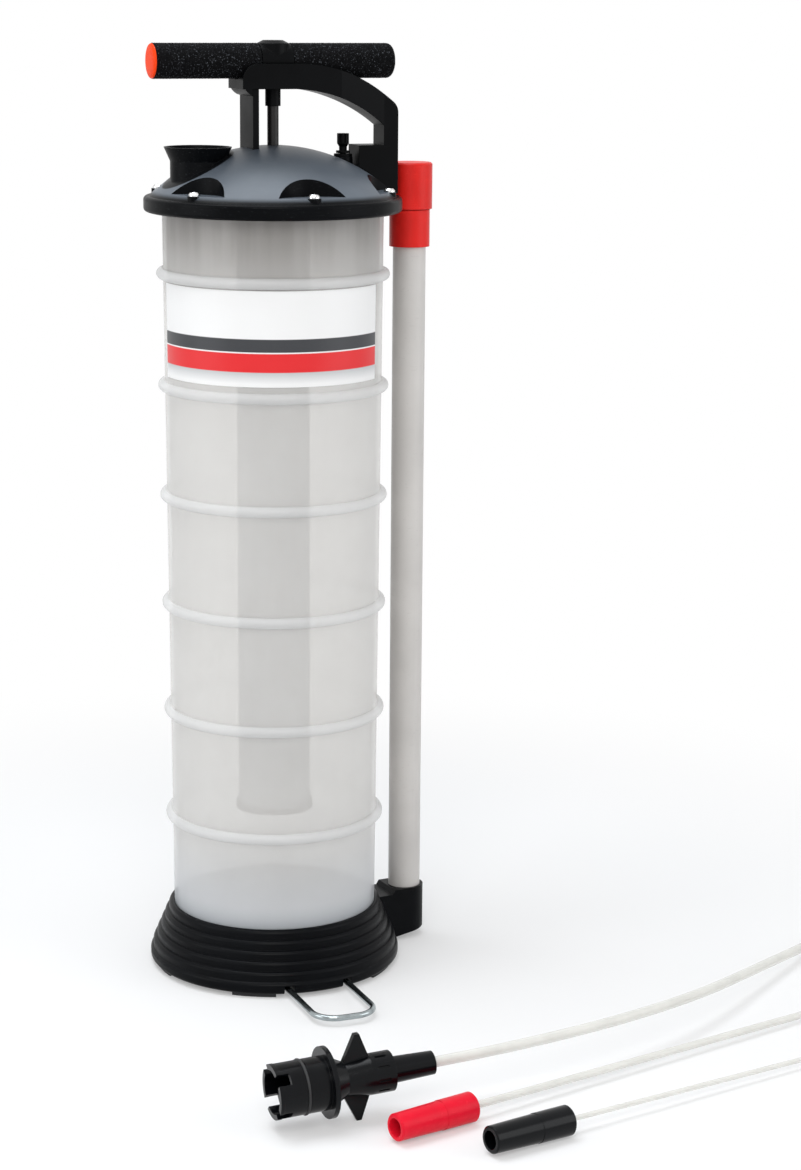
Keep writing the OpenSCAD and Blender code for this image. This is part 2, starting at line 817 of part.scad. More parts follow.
module lid_outside() {
    rotate_extrude() brim_profile();
    intersection() {
        dome_ball(0);
        translate([0, 0, brim_top_z - over]) cylinder(r = dome_edge_r, h = dome_h + 2 * over);
    }
}

module at_pockets() {
    at_lid_screws() translate([pocket_mid_r - screw_ring_r, 0, 0]) children();
}

// Hollow under the dome, which leaves a floor and a wall for each screw pocket.
module lid_cavity() {
    difference() {
        intersection() {
            dome_ball(-dome_t);
            translate([0, 0, seat_z - over]) cylinder(r = lid_cavity_r, h = far);
        }
        at_pockets() translate([0, 0, seat_z - 2 * over]) cylinder(r = pocket_r + pocket_wall, h = far);
    }
}

module spout_outside() {
    translate([-spout_x, 0, spout_end_z]) cylinder(r = spout_r, h = spout_rim_z - spout_end_z);
    translate([-spout_x, 0, flare_z])
        cylinder(r1 = spout_r, r2 = spout_r + flare_w, h = flare_h);
}

module lid() {
    color([0.14, 0.15, 0.17]) difference() {
        union() {
            difference() {
                lid_outside();
                lid_cavity();
                at_pockets() translate([0, 0, pocket_z]) cylinder(r = pocket_r, h = dome_h);
            }
            at_lid_screws() translate([0, 0, seat_z])
                cylinder(r = screw_head_r + screw_land_edge, h = pocket_z - seat_z);
            intersection() {
                dome_ball(-boss_root);
                translate([0, 0, boss_z]) cylinder(r = boss_r, h = far);
            }
            spout_outside();
            translate([valve_x, 0, valve_boss_z - valve_boss_l])
                cylinder(r = valve_boss_r, h = valve_boss_l);
            intersection() {
                dome_ball(-boss_root);
                at_handle_screws() translate([0, 0, handle_screw_seat_z])
                    cylinder(r = handle_screw_boss_r, h = far);
            }
        }
        translate([0, 0, brim_z - over]) cylinder(r = flange_r + 2 * slip_fit, h = brim_drop + over);
        at_lid_screws() translate([0, 0, seat_z - over])
            cylinder(r = screw_hole_r, h = pocket_z - seat_z + 2 * over);
        translate([0, 0, seat_z - over])
            cylinder(r = barrel_r + run_fit, h = barrel_top_up + slip_fit + over);
        translate([0, 0, barrel_top_z]) cylinder(r = seal_r + run_fit, h = seal_h + slip_fit);
        translate([0, 0, barrel_top_z]) cylinder(r = rod_r + free_gap, h = far);
        translate([-spout_x, 0, seat_z - over]) cylinder(r = spout_bore_r, h = far);
        translate([-spout_x, 0, flare_z]) cylinder(
            r1 = spout_bore_r,
            r2 = spout_bore_r + flare_w * (flare_h + over) / flare_h,
            h = flare_h + over
        );
        translate([post_far_x - slip_fit, -post_w / 2 - slip_fit, post_foot_z])
            cube([post_t + 2 * slip_fit, post_w + 2 * slip_fit, far]);
        translate([valve_x, 0, seat_z]) cylinder(r = seat_tube_r + run_fit, h = far);
        at_handle_screws() translate([0, 0, seat_z]) cylinder(r = handle_screw_r + slip_fit, h = far);
    }
}

module at_handle_screws() {
    for (side = [-1, 1]) translate([handle_screw_x, side * handle_screw_y, 0]) children();
}

module lid_gasket() {
    color([0.1, 0.1, 0.1]) difference() {
        ring(flange_r - slip_fit, tank_bore_r, flange_top_z, seat_z);
        at_lid_screws() translate([0, 0, flange_top_z - over])
            cylinder(r = screw_hole_r, h = gasket_t + 2 * over);
    }
}

module lid_screws() {
    cone_h = screw_head_h * screw_cone_share;
    slot_l = screw_head_r * slot_l_share;
    color([0.78, 0.79, 0.8]) at_lid_screws() difference() {
        union() {
            translate([0, 0, pocket_z]) cylinder(r = screw_head_r, h = screw_head_h - cone_h);
            translate([0, 0, pocket_z + screw_head_h - cone_h])
                cylinder(r1 = screw_head_r, r2 = screw_head_r * screw_top_share, h = cone_h);
            translate([0, 0, flange_z]) cylinder(r = screw_r, h = pocket_z - flange_z + eps);
        }
        for (turn = [0, 90]) rotate([0, 0, screw_turn + turn])
            translate([-slot_l / 2, -slot_w / 2, pocket_z + screw_head_h - slot_d])
            cube([slot_l, slot_w, slot_d + over]);
    }
}

// Side view of the handle: trough, arch and leg, as outer outline less the hand opening.
module handle_side() {
    difference() {
        union() {
            translate([-trough_back, trough_under_z])
                square([trough_back + trough_level, trough_h - trough_corner]);
            translate([-trough_back + trough_corner, trough_under_z])
                square([trough_back + trough_level - trough_corner, trough_h]);
            translate([-trough_back + trough_corner, trough_top_z - trough_corner]) circle(trough_corner);
            difference() {
                intersection() {
                    translate([trough_level, arch_mid_z]) circle(arch_r, $fn = 240);
                    translate([trough_level, block_top_z - over])
                        square([leg_out_x - trough_level, trough_top_z - block_top_z + over]);
                }
                translate([corner_x, corner_z]) polygon([[0, 0], [far, 0], [far, far * tan(corner_turn)]]);
            }
            translate([corner_x, corner_z]) circle(corner_round);
            translate([post_far_x, post_foot_z + slip_fit])
                square([post_t, trough_under_z - post_foot_z]);
        }
        intersection() {
            translate([under_level, trough_under_z - under_r]) circle(under_r, $fn = 240);
            translate([under_level, dome_mid_z]) square([leg_in_x - under_level, 2 * far]);
        }
        translate([-post_gap, dome_mid_z]) square([post_gap + under_level, trough_under_z - dome_mid_z]);
    }
}

module handle_plan() {
    polygon([
        [-trough_back - over, -trough_half_w],
        [taper_start_x, -trough_half_w],
        [leg_in_x, -leg_half_w],
        [leg_out_x, -leg_half_w],
        [leg_out_x, leg_half_w],
        [leg_in_x, leg_half_w],
        [taper_start_x, trough_half_w],
        [-trough_back - over, trough_half_w]
    ]);
}

module carry_handle() {
    color([0.06, 0.06, 0.07]) difference() {
        union() {
            intersection() {
                along_y(4 * trough_half_w) handle_side();
                linear_extrude(2 * grip_z) handle_plan();
            }
            translate([block_in_x, -leg_half_w, brim_top_z])
                cube([block_l, 2 * leg_half_w, block_top_z - brim_top_z]);
        }
        translate([-far / 2, 0, grip_z]) rotate([0, 90, 0]) cylinder(r = channel_r, h = far);
        translate([0, 0, trough_under_z - over]) cylinder(r = bush_r + run_fit, h = far);
        for (y = [post_w / 2, -post_w / 2 - far]) translate([post_far_x - over, y, 0])
            cube([post_t + 2 * over, far, trough_under_z]);
        dome_ball_but_slot();
        translate([0, 0, brim_top_z - over]) cylinder(r = brim_r + over, h = over + slip_fit);
        at_handle_screws() translate([0, 0, brim_top_z])
            cylinder(r = handle_screw_r + run_fit, h = handle_screw_tip_z + free_gap - brim_top_z);
    }
}

// The dome, grown by a slip gap, left open where the post goes into its slot.
module dome_ball_but_slot() {
    intersection() {
        dome_ball(slip_fit);
        translate([-post_gap + over, -far / 2, brim_top_z - over]) cube([far, far, far]);
    }
}

module handle_screws() {
    color([0.75, 0.75, 0.77]) at_handle_screws() {
        translate([0, 0, handle_screw_seat_z - handle_screw_head_h])
            cylinder(r = handle_screw_head_r, h = handle_screw_head_h);
        translate([0, 0, handle_screw_seat_z - eps])
            cylinder(r = handle_screw_r, h = handle_screw_tip_z - handle_screw_seat_z);
    }
}

module rod_guide_bush() {
    color([0.12, 0.12, 0.13])
        ring(bush_r, rod_r + run_fit, trough_under_z - bush_down, trough_floor_z - bush_sunk);
}

module rod_seal() {
    color([0.15, 0.15, 0.15])
        ring(seal_r, rod_r + run_fit, barrel_top_z + slip_fit / 2, barrel_top_z + seal_h);
}

module gland_plate() {
    color([0.3, 0.3, 0.32])
        ring(barrel_bore_r - run_fit, rod_r + run_fit, barrel_top_z - gland_t, barrel_top_z);
}

module pump_barrel() {
    color([0.75, 0.74, 0.7]) ring(barrel_r, barrel_bore_r, barrel_z, barrel_top_z);
}

module barrel_foot() {
    color([0.2, 0.2, 0.22]) difference() {
        union() {
            translate([0, 0, barrel_z - foot_plate_t])
                cylinder(r = barrel_r + foot_plate_edge, h = foot_plate_t);
            translate([0, 0, barrel_z - eps]) cylinder(r = barrel_bore_r - run_fit, h = foot_plug_l + eps);
        }
        translate([0, 0, barrel_z - foot_plate_t - over]) {
            cylinder(r = valve_pin_r + run_fit, h = far);
            for (i = [0 : air_hole_count - 1]) rotate([0, 0, i * 360 / air_hole_count])
                translate([air_hole_ring_r, 0, 0]) cylinder(r = air_hole_r, h = far);
        }
    }
}

module valve_retainer() {
    foot_z = barrel_z - foot_plate_t;
    color([0.6, 0.6, 0.62]) {
        translate([0, 0, foot_z - valve_head_t]) cylinder(r = rivet_head_r, h = valve_head_t);
        translate([0, 0, foot_z - eps]) cylinder(r = valve_pin_r, h = valve_head_z - foot_z + 2 * eps);
        translate([0, 0, valve_head_z]) cylinder(r = valve_head_r, h = valve_head_t);
    }
}

module inlet_valve_disc() {
    z = valve_seat_z + valve_rest_gap;
    color([0.1, 0.1, 0.1]) ring(valve_disc_r, valve_pin_r + run_fit, z, z + valve_disc_t);
}

module pump_rod() {
    color([0.1, 0.1, 0.11]) translate([0, 0, rod_end_z])
        cylinder(r = rod_r, h = rod_top_z - rod_end_z);
}

module piston() {
    color([0.8, 0.8, 0.78])
        ring(barrel_bore_r - free_gap, rod_r + run_fit, piston_z, piston_z + piston_l);
}

module piston_cup() {
    color([0.1, 0.1, 0.1]) ring(barrel_bore_r - run_fit, rod_r + run_fit, cup_ring_z, piston_z);
}

module piston_washer() {
    color([0.7, 0.7, 0.72]) ring(piston_washer_r, rod_r + run_fit, washer_z, cup_ring_z);
}

module piston_nut() {
    color([0.7, 0.7, 0.72]) difference() {
        translate([0, 0, rod_end_z]) hex_bar(2 * piston_nut_r, piston_nut_h);
        translate([0, 0, rod_end_z - over]) cylinder(r = rod_r + run_fit, h = piston_nut_h + 2 * over);
    }
}

module t_handle() {
    color([0.1, 0.1, 0.11]) difference() {
        union() {
            translate([0, 0, grip_z]) rod_x(-bar_half, bar_half, bar_r, bar_r);
            translate([0, 0, grip_z]) rod_x(-hub_half, hub_half, grip_r, grip_r);
            translate([0, 0, grip_z]) cylinder(r = hub_half, h = hub_top_z - grip_z - hub_bevel_h);
            translate([0, 0, hub_top_z - hub_bevel_h - eps])
                cylinder(r1 = hub_half, r2 = hub_half - hub_round, h = hub_bevel_h + eps);
        }
        cylinder(r = rod_r + run_fit, h = rod_top_z + slip_fit);
    }
}

module grip(side) {
    s0 = hub_half + slip_fit;
    color([0.07, 0.07, 0.07]) at_grip(side) difference() {
        rod_x(s0, t_len / 2, grip_r, grip_r);
        rod_x(s0 - over, bar_half + over, bar_r + run_fit, bar_r + run_fit);
        rod_x(bar_half, t_len / 2 + over, end_cap_r + slip_fit, end_cap_r + slip_fit);
    }
}

module at_grip(side) {
    translate([0, 0, grip_z]) rotate([0, 0, side > 0 ? 0 : 180]) children();
}

module grip_left() { grip(-1); }

module grip_right() { grip(1); }

// The caps close the foam's ends, flush with them.
module end_cap(side) {
    edge_s = t_len / 2 - end_cap_edge;
    color([0.95, 0.33, 0.1]) at_grip(side) {
        rod_x(bar_half, edge_s, end_cap_r, end_cap_r);
        rod_x(edge_s - eps, t_len / 2, end_cap_r, end_cap_r - end_cap_edge);
    }
}

module end_cap_left() { end_cap(-1); }

module end_cap_right() { end_cap(1); }

module release_valve_seat() {
    color([0.1, 0.1, 0.1]) translate([valve_x, 0, 0]) difference() {
        union() {
            translate([0, 0, valve_boss_z]) cylinder(r = valve_flange_r, h = valve_flange_t);
            translate([0, 0, seat_end_z]) cylinder(r = seat_tube_r, h = seat_tube_l + eps);
        }
        translate([0, 0, seat_end_z - over]) cylinder(r = stem_r + run_fit, h = far);
    }
}

module release_valve_knob() {
    top_z = knob_head_z + knob_h;
    color([0.08, 0.08, 0.08]) translate([valve_x, 0, 0]) difference() {
        union() {
            translate([0, 0, valve_rubber_z])
                cylinder(r = stem_r, h = knob_collar_z - valve_rubber_z + eps);
            translate([0, 0, knob_collar_z]) cylinder(r = knob_collar_r, h = knob_collar_t);
            translate([0, 0, knob_collar_z])
                cylinder(r = knob_neck_r, h = knob_head_z - knob_collar_z + eps);
            translate([0, 0, knob_head_z]) cylinder(r1 = knob_neck_r, r2 = knob_r, h = knob_flare_h);
            translate([0, 0, knob_head_z + knob_flare_h - eps])
                cylinder(r = knob_r, h = knob_h - knob_flare_h + eps);
        }
        for (i = [0 : knob_notch_count - 1]) rotate([0, 0, i * 360 / knob_notch_count])
            translate([knob_r - knob_notch_d, -knob_notch_w / 2, knob_head_z + knob_flare_h + knob_notch_up])
            cube([knob_notch_d + over, knob_notch_w, knob_h]);
        translate([0, 0, top_z - knob_dimple_d])
            cylinder(r = knob_r * knob_dimple_share, h = knob_dimple_d + over);
    }
}

module release_valve_disc() {
    color([0.1, 0.1, 0.1]) translate([valve_x, 0, 0])
        ring(valve_rubber_r, stem_r + run_fit, valve_rubber_z, valve_rubber_z + valve_rubber_t);
}

module at_side_tube() {
    rotate([0, 0, tube_turn]) translate([tube_x, 0, 0]) children();
}

module storage_tube() {
    color([0.86, 0.86, 0.83]) at_side_tube() ring(tube_r, tube_bore_r, tube_z, tube_top_z);
}

module storage_collar() {
    color([0.85, 0.1, 0.08]) at_side_tube() difference() {
        translate([0, 0, collar_top_z - collar_h]) cylinder(r = collar_r, h = collar_h);
        translate([0, 0, collar_top_z - collar_h - over])
            cylinder(r = tube_r + run_fit, h = collar_h - collar_lip + over);
        translate([0, 0, tube_top_z - over]) cylinder(r = tube_bore_r, h = far);
    }
}

module storage_cap() {
    spigot_r = tube_bore_r - run_fit;
    spigot_z = cap_z - spigot_l;
    color([0.88, 0.1, 0.08]) at_side_tube() difference() {
        union() {
            translate([0, 0, cap_z]) cylinder(r = cap_r, h = cap_h - cap_edge);
            translate([0, 0, cap_z + cap_h - cap_edge - eps])
                cylinder(r1 = cap_r, r2 = cap_r - cap_edge, h = cap_edge + eps);
            translate([0, 0, spigot_z]) cylinder(r = spigot_r, h = spigot_l + eps);
        }
        translate([0, 0, spigot_z - over])
            cylinder(r = spigot_r - spigot_wall, h = spigot_l + cap_h - cap_wall + over);
    }
}

module fin_outline() {
    polygon([
        [fin_s, waist_r - fin_root],
        [fin_tip_s - fin_tip_w / 2, fin_r],
        [fin_tip_s + fin_tip_w / 2, fin_r],
        [fin_end_s, neck_r],
        [fin_end_s, waist_r - fin_root]
    ]);
}

module suction_plug() {
    bore_r = large_r * (1 - tube_wall_share);
    hollow_r = plug_r - plug_wall;
    color([0.06, 0.06, 0.07]) lay_large() difference() {
        union() {
            rod_x(0, plug_flange_s + eps, plug_r, plug_r);
            rod_x(0, hook_l, plug_r + hook_out, plug_r + hook_out);
            rod_x(plug_flange_s, neck_s, plug_flange_r, plug_flange_r);
            rod_x(neck_s - eps, fin_s + waist_cone_l, neck_r + waist_cone_out, waist_r);
            rod_x(fin_s, fin_end_s, waist_r, neck_r);
            rod_x(fin_end_s - eps, nozzle_s, neck_r, neck_r);
            rod_x(nozzle_s - eps, plug_l, nozzle_r, nozzle_tip_r);
            for (turn = [0, 180]) rotate([turn, 0, 0])
                along_y(fin_t) fin_outline();
        }
        rod_x(-over, neck_s - hollow_end_t, hollow_r, hollow_r);
        rod_x(0, plug_l + over, bore_r, bore_r);
        rod_x(plug_l - probe_seat, plug_l + over, large_r + run_fit, large_r + run_fit);
        for (i = [0 : prong_count - 1]) rotate([(i + 0.5) * 360 / prong_count, 0, 0])
            translate([-over, -prong_gap / 2, 0]) cube([prong_l + over, prong_gap, far]);
        translate([seal_s, 0, 0]) rotate([0, 90, 0])
            ring(plug_r + over, seal_groove_r, 0, 2 * (ring_r + seal_side_gap));
        for (i = [0 : plug_rib_count - 1]) rotate([(i + 0.5) * 360 / plug_rib_count, 0, 0])
            translate([rib_s, -rib_w / 2, neck_r - rib_deep])
            cube([nozzle_s - rib_end_margin - rib_s, rib_w, rib_deep + over]);
    }
}

module plug_seal() {
    color([0.03, 0.03, 0.03]) lay_large()
        translate([seal_s + seal_side_gap + ring_r, 0, 0]) rotate([0, 90, 0])
        rotate_extrude() translate([seal_groove_r + run_fit + ring_r, 0]) circle(ring_r);
}

module suction_tube_large() {
    bore_r = large_r * (1 - tube_wall_share);
    color([0.9, 0.9, 0.86]) lay_large() {
        rotate([0, 90, 0])
            ring(large_r, bore_r, plug_l - probe_seat + probe_seat_gap, plug_l + bend_lap);
        translate([plug_l, 0, 0]) rotate([bend_roll, 0, 0]) translate([0, large_bend_r, 0]) {
            rotate([0, 0, -90]) rotate_extrude(angle = large_bend) translate([large_bend_r, 0]) difference() {
                circle(large_r + bend_step);
                circle(bore_r - bend_step);
            }
            rotate([0, 0, large_bend - 90]) translate([large_bend_r, 0, 0]) rotate([-90, 0, 0])
                ring(large_r, bore_r, -bend_lap, large_end_l);
        }
    }
}

module straight_tube(r) {
    bore_r = r * (1 - tube_wall_share);
    neck_end_s = sleeve_l + probe_neck_out;
    color([0.9, 0.9, 0.86]) difference() {
        union() {
            rod_x(sleeve_l - probe_seat + probe_seat_gap, neck_end_s + eps, r - probe_neck, r - probe_neck);
            rod_x(neck_end_s, sleeve_l + probe_l, r, r);
        }
        rod_x(sleeve_l - probe_seat - over, sleeve_l + probe_l + over, bore_r, bore_r);
    }
}

module sleeve(r) {
    step_s = sleeve_l * sleeve_step_at;
    step_r = sleeve_mouth_r + (sleeve_tail_r - sleeve_mouth_r) * sleeve_step_at;
    bore_r = r * (1 - tube_wall_share);
    difference() {
        union() {
            rod_x(0, sleeve_edge, sleeve_mouth_r - sleeve_edge, sleeve_mouth_r);
            rod_x(sleeve_edge - eps, step_s, sleeve_mouth_r, step_r);
            rod_x(step_s - eps, sleeve_l - sleeve_edge, step_r + sleeve_step, sleeve_tail_r);
            rod_x(sleeve_l - sleeve_edge - eps, sleeve_l, sleeve_tail_r, sleeve_tail_r - sleeve_edge);
        }
        rod_x(-over, sleeve_bore_d, sleeve_bore_r, sleeve_bore_r);
        rod_x(0, sleeve_l, bore_r, bore_r);
        rod_x(sleeve_l - probe_seat, sleeve_l + over, r - probe_neck + run_fit, r - probe_neck + run_fit);
    }
}

module red_sleeve() { color([0.85, 0.07, 0.16]) lay_medium() sleeve(medium_r); }

module suction_tube_medium() { lay_medium() straight_tube(medium_r); }

module black_sleeve() { color([0.04, 0.04, 0.05]) lay_small() sleeve(small_r); }

module suction_tube_small() { lay_small() straight_tube(small_r); }

base_foot();
foot_pads();
foot_stirrup();
stirrup_guide();
guide_screws();
tank();
label_panel();
lid();
lid_gasket();
lid_screws();
carry_handle();
handle_screws();
rod_guide_bush();
rod_seal();
gland_plate();
pump_barrel();
barrel_foot();
valve_retainer();
inlet_valve_disc();
pump_rod();
piston();
piston_cup();
piston_washer();
piston_nut();
t_handle();
grip_left();
grip_right();
end_cap_left();
end_cap_right();
release_valve_seat();
release_valve_knob();
release_valve_disc();
storage_tube();
storage_collar();
storage_cap();
suction_plug();
plug_seal();
suction_tube_large();
red_sleeve();
suction_tube_medium();
black_sleeve();
suction_tube_small();
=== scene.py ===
import json
import math

import bmesh
import bpy
from mathutils import Matrix, Vector


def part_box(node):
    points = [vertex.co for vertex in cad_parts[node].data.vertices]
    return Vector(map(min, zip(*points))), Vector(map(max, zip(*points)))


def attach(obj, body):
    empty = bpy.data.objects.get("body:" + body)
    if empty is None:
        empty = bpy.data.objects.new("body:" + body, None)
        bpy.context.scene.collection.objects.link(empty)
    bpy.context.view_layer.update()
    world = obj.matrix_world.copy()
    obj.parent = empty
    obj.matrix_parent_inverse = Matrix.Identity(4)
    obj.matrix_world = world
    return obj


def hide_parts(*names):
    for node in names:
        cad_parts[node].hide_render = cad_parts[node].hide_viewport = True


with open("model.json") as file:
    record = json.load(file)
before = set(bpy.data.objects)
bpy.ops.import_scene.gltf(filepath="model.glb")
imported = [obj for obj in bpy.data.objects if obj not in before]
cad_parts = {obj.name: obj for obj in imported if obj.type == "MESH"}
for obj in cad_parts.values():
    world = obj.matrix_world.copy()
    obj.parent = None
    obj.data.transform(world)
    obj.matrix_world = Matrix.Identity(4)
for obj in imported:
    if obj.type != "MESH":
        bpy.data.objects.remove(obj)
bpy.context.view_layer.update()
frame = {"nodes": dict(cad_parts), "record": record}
CAD = frame["nodes"]
SCENE = bpy.context.scene
MM = 0.001

# Camera: the photo is 801 x 1170 pixels, seen from the front left and a little above the lid.
PHOTO_TALL = 1170
FOCAL_PIXELS = 2700.0
SENSOR_TALL = 36.0
CAMERA_AT = Vector((-0.5940, -1.6657, 0.6485))
CAMERA_YAW = 0.3905
CAMERA_DOWN = 0.2155
CAMERA_ROLL = 0.0081

# Tank wall: a cone between these radii and heights, with ribs standing out from it
WALL_FOOT_R = 68.2 * MM
WALL_TOP_R = 72.1 * MM
WALL_FOOT_Z = 14.0 * MM
WALL_TOP_Z = 511.0 * MM

# Painted shade under the lid: the tank's colour darkens from the first height up to the second
LID_SHADE_FROM_Z = 440.0 * MM
LID_SHADE_FULL_Z = 512.0 * MM

# Lid: top of the brim, and the spout's place and outer radius
BRIM_TOP = 520.0 * MM
SPOUT_X = -51.0 * MM
SPOUT_R = 22.5 * MM

# T-handle: foam sleeves from the hub to their ends, on a thinner bar
GRIP_R = 11.2 * MM
GRIP_HALF = 83.0 * MM
GRIP_START = 10.7 * MM
BAR_R = 7.6 * MM
GRIP_STEPS = 24
BEADS_PER_AREA = 650000.0
BEAD_R = 0.28 * MM

# Each grip: node, side, outer end, rounding of that end, seed of its beads
GRIPS = (
    ("grip_left", -1, GRIP_HALF - 1.9 * MM, 0.5 * MM, 3),
    ("grip_right", 1, GRIP_HALF - 1.4 * MM, 3.6 * MM, 8),
)

# Each end cap: node, side, radius, where its rim is, how far it domes out
CAP_BACK = 79.0 * MM
END_CAPS = (
    ("end_cap_left", -1, 11.0 * MM, 81.2 * MM, 1.7 * MM),
    ("end_cap_right", 1, 7.5 * MM, 81.0 * MM, 0.7 * MM),
)

# Stage: each softbox's name, place, width, power and tint, all aimed at the tank's middle
WORLD_LIGHT = 0.42
LAMP_AIM = Vector((0.0, 0.0, 0.32))
SOFTBOXES = (
    ("front_softbox", (-0.8, -1.9, 1.7), 1.3, 22.0, (1.0, 0.99, 0.97)),
    ("left_softbox", (-1.8, 0.0, 0.8), 1.2, 9.0, (0.96, 0.98, 1.0)),
    ("right_softbox", (1.4, -1.2, 0.8), 1.2, 9.0, (0.96, 0.98, 1.0)),
    ("top_softbox", (-0.3, 0.1, 2.0), 1.2, 22.0, (0.92, 0.96, 1.0)),
)

DUST_COLOUR = (0.36, 0.34, 0.31)


def place_camera():
    lens = bpy.data.cameras.new("photo_camera")
    lens.sensor_fit = "VERTICAL"
    lens.sensor_height = SENSOR_TALL
    lens.lens = FOCAL_PIXELS / PHOTO_TALL * SENSOR_TALL
    lens.clip_end = 50.0
    holder = bpy.data.objects.new("photo_camera", lens)
    SCENE.collection.objects.link(holder)
    flat = math.cos(CAMERA_DOWN)
    ahead = Vector((math.sin(CAMERA_YAW) * flat, math.cos(CAMERA_YAW) * flat, -math.sin(CAMERA_DOWN)))
    level = Vector((math.cos(CAMERA_YAW), -math.sin(CAMERA_YAW), 0.0))
    upright = level.cross(ahead)
    c, s = math.cos(CAMERA_ROLL), math.sin(CAMERA_ROLL)
    right = c * level + s * upright
    up = c * upright - s * level
    turn = Matrix((right, up, -ahead)).transposed().to_4x4()
    turn.translation = CAMERA_AT
    holder.matrix_world = turn
    SCENE.camera = holder


# Shader groups

def new_group(name, inputs, outputs):
    """An empty shader group with named sockets, and its input and output nodes."""
    tree = bpy.data.node_groups.new(name, "ShaderNodeTree")
    for label, kind, value in inputs:
        sock = tree.interface.new_socket(label, in_out="INPUT", socket_type=kind)
        sock.default_value = value
    for label, kind in outputs:
        tree.interface.new_socket(label, in_out="OUTPUT", socket_type=kind)
    return tree, tree.nodes.new("NodeGroupInput"), tree.nodes.new("NodeGroupOutput")


def add(tree, kind, **settings):
    node = tree.nodes.new(kind)
    for key, value in settings.items():
        setattr(node, key, value)
    return node


def math_node(tree, operation, a, b=None, clamp=False):
    """A Math node fed by sockets or plain numbers."""
    node = add(tree, "ShaderNodeMath", operation=operation, use_clamp=clamp)
    for socket, value in zip(node.inputs, (a, b)):
        if value is None:
            continue
        if isinstance(value, (int, float)):
            socket.default_value = value
        else:
            tree.links.new(value, socket)
    return node.outputs[0]


def ramp_range(tree, value, low, high, to_low=0.0, to_high=1.0, smooth=True):
    node = add(tree, "ShaderNodeMapRange", interpolation_type="SMOOTHSTEP" if smooth else "LINEAR")
    node.inputs["From Min"].default_value = low
    node.inputs["From Max"].default_value = high
    node.inputs["To Min"].default_value = to_low
    node.inputs["To Max"].default_value = to_high
    tree.links.new(value, node.inputs["Value"])
    return node.outputs["Result"]


def noise(tree, coords, scale, detail=2.0, roughness=0.5):
    node = add(tree, "ShaderNodeTexNoise")
    node.inputs["Detail"].default_value = detail
    node.inputs["Roughness"].default_value = roughness
    if isinstance(scale, (int, float)):
        node.inputs["Scale"].default_value = scale
    else:
        tree.links.new(scale, node.inputs["Scale"])
    tree.links.new(coords, node.inputs["Vector"])
    return node.outputs["Fac"]


def mix_colour(tree, factor, a, b, blend="MIX"):
    node = add(tree, "ShaderNodeMix", data_type="RGBA", blend_type=blend)
    for socket, value in ((node.inputs["Factor"], factor), (node.inputs["A"], a), (node.inputs["B"], b)):
        if isinstance(value, (int, float)):
            socket.default_value = value
        elif isinstance(value, tuple):
            socket.default_value = (*value, 1.0)
        else:
            tree.links.new(value, socket)
    return node.outputs["Result"]


def build_moulded_grain():
    """Fine spark grain of a mould, and slow changes of tone over the surface."""
    tree, inlet, outlet = new_group(
        "moulded_grain",
        [("Grain Scale", "NodeSocketFloat", 1800.0), ("Tone Scale", "NodeSocketFloat", 28.0)],
        [("Height", "NodeSocketFloat"), ("Tone", "NodeSocketFloat")],
    )
    where = add(tree, "ShaderNodeTexCoord").outputs["Object"]
    grain = noise(tree, where, inlet.outputs["Grain Scale"], 3.0, 0.6)
    tone = noise(tree, where, inlet.outputs["Tone Scale"], 3.0, 0.55)
    tree.links.new(grain, outlet.inputs["Height"])
    tree.links.new(tone, outlet.inputs["Tone"])
    return tree


def build_worn_edges():
    """A mask along the edges, broken up by noise, and the normal of slightly rounded edges."""
    tree, inlet, outlet = new_group(
        "worn_edges",
        [("Radius", "NodeSocketFloat", 0.0006), ("Break Scale", "NodeSocketFloat", 350.0)],
        [("Mask", "NodeSocketFloat"), ("Normal", "NodeSocketVector")],
    )
    bevel = add(tree, "ShaderNodeBevel", samples=4)
    tree.links.new(inlet.outputs["Radius"], bevel.inputs["Radius"])
    facing = add(tree, "ShaderNodeNewGeometry").outputs["Normal"]
    turn = add(tree, "ShaderNodeVectorMath", operation="DOT_PRODUCT")
    tree.links.new(bevel.outputs["Normal"], turn.inputs[0])
    tree.links.new(facing, turn.inputs[1])
    edge = ramp_range(tree, turn.outputs["Value"], 0.985, 0.8)
    where = add(tree, "ShaderNodeTexCoord").outputs["Object"]
    broken = ramp_range(tree, noise(tree, where, inlet.outputs["Break Scale"], 4.0, 0.65), 0.42, 0.68)
    tree.links.new(math_node(tree, "MULTIPLY", edge, broken), outlet.inputs["Mask"])
    tree.links.new(bevel.outputs["Normal"], outlet.inputs["Normal"])
    return tree


def build_settled_dust():
    """Thin dust on faces that look up."""
    tree, inlet, outlet = new_group(
        "settled_dust",
        [("Patch Scale", "NodeSocketFloat", 45.0)],
        [("Mask", "NodeSocketFloat")],
    )
    facing = add(tree, "ShaderNodeNewGeometry").outputs["Normal"]
    parts = add(tree, "ShaderNodeSeparateXYZ")
    tree.links.new(facing, parts.inputs[0])
    upward = ramp_range(tree, parts.outputs["Z"], 0.35, 1.0)
    where = add(tree, "ShaderNodeTexCoord").outputs["Object"]
    patches = ramp_range(tree, noise(tree, where, inlet.outputs["Patch Scale"], 5.0, 0.7), 0.35, 0.75)
    specks = ramp_range(tree, noise(tree, where, 2600.0, 2.0), 0.5, 0.72)
    cover = math_node(tree, "MULTIPLY", patches, math_node(tree, "ADD", 0.35, specks), clamp=True)
    tree.links.new(math_node(tree, "MULTIPLY", upward, cover), outlet.inputs["Mask"])
    return tree


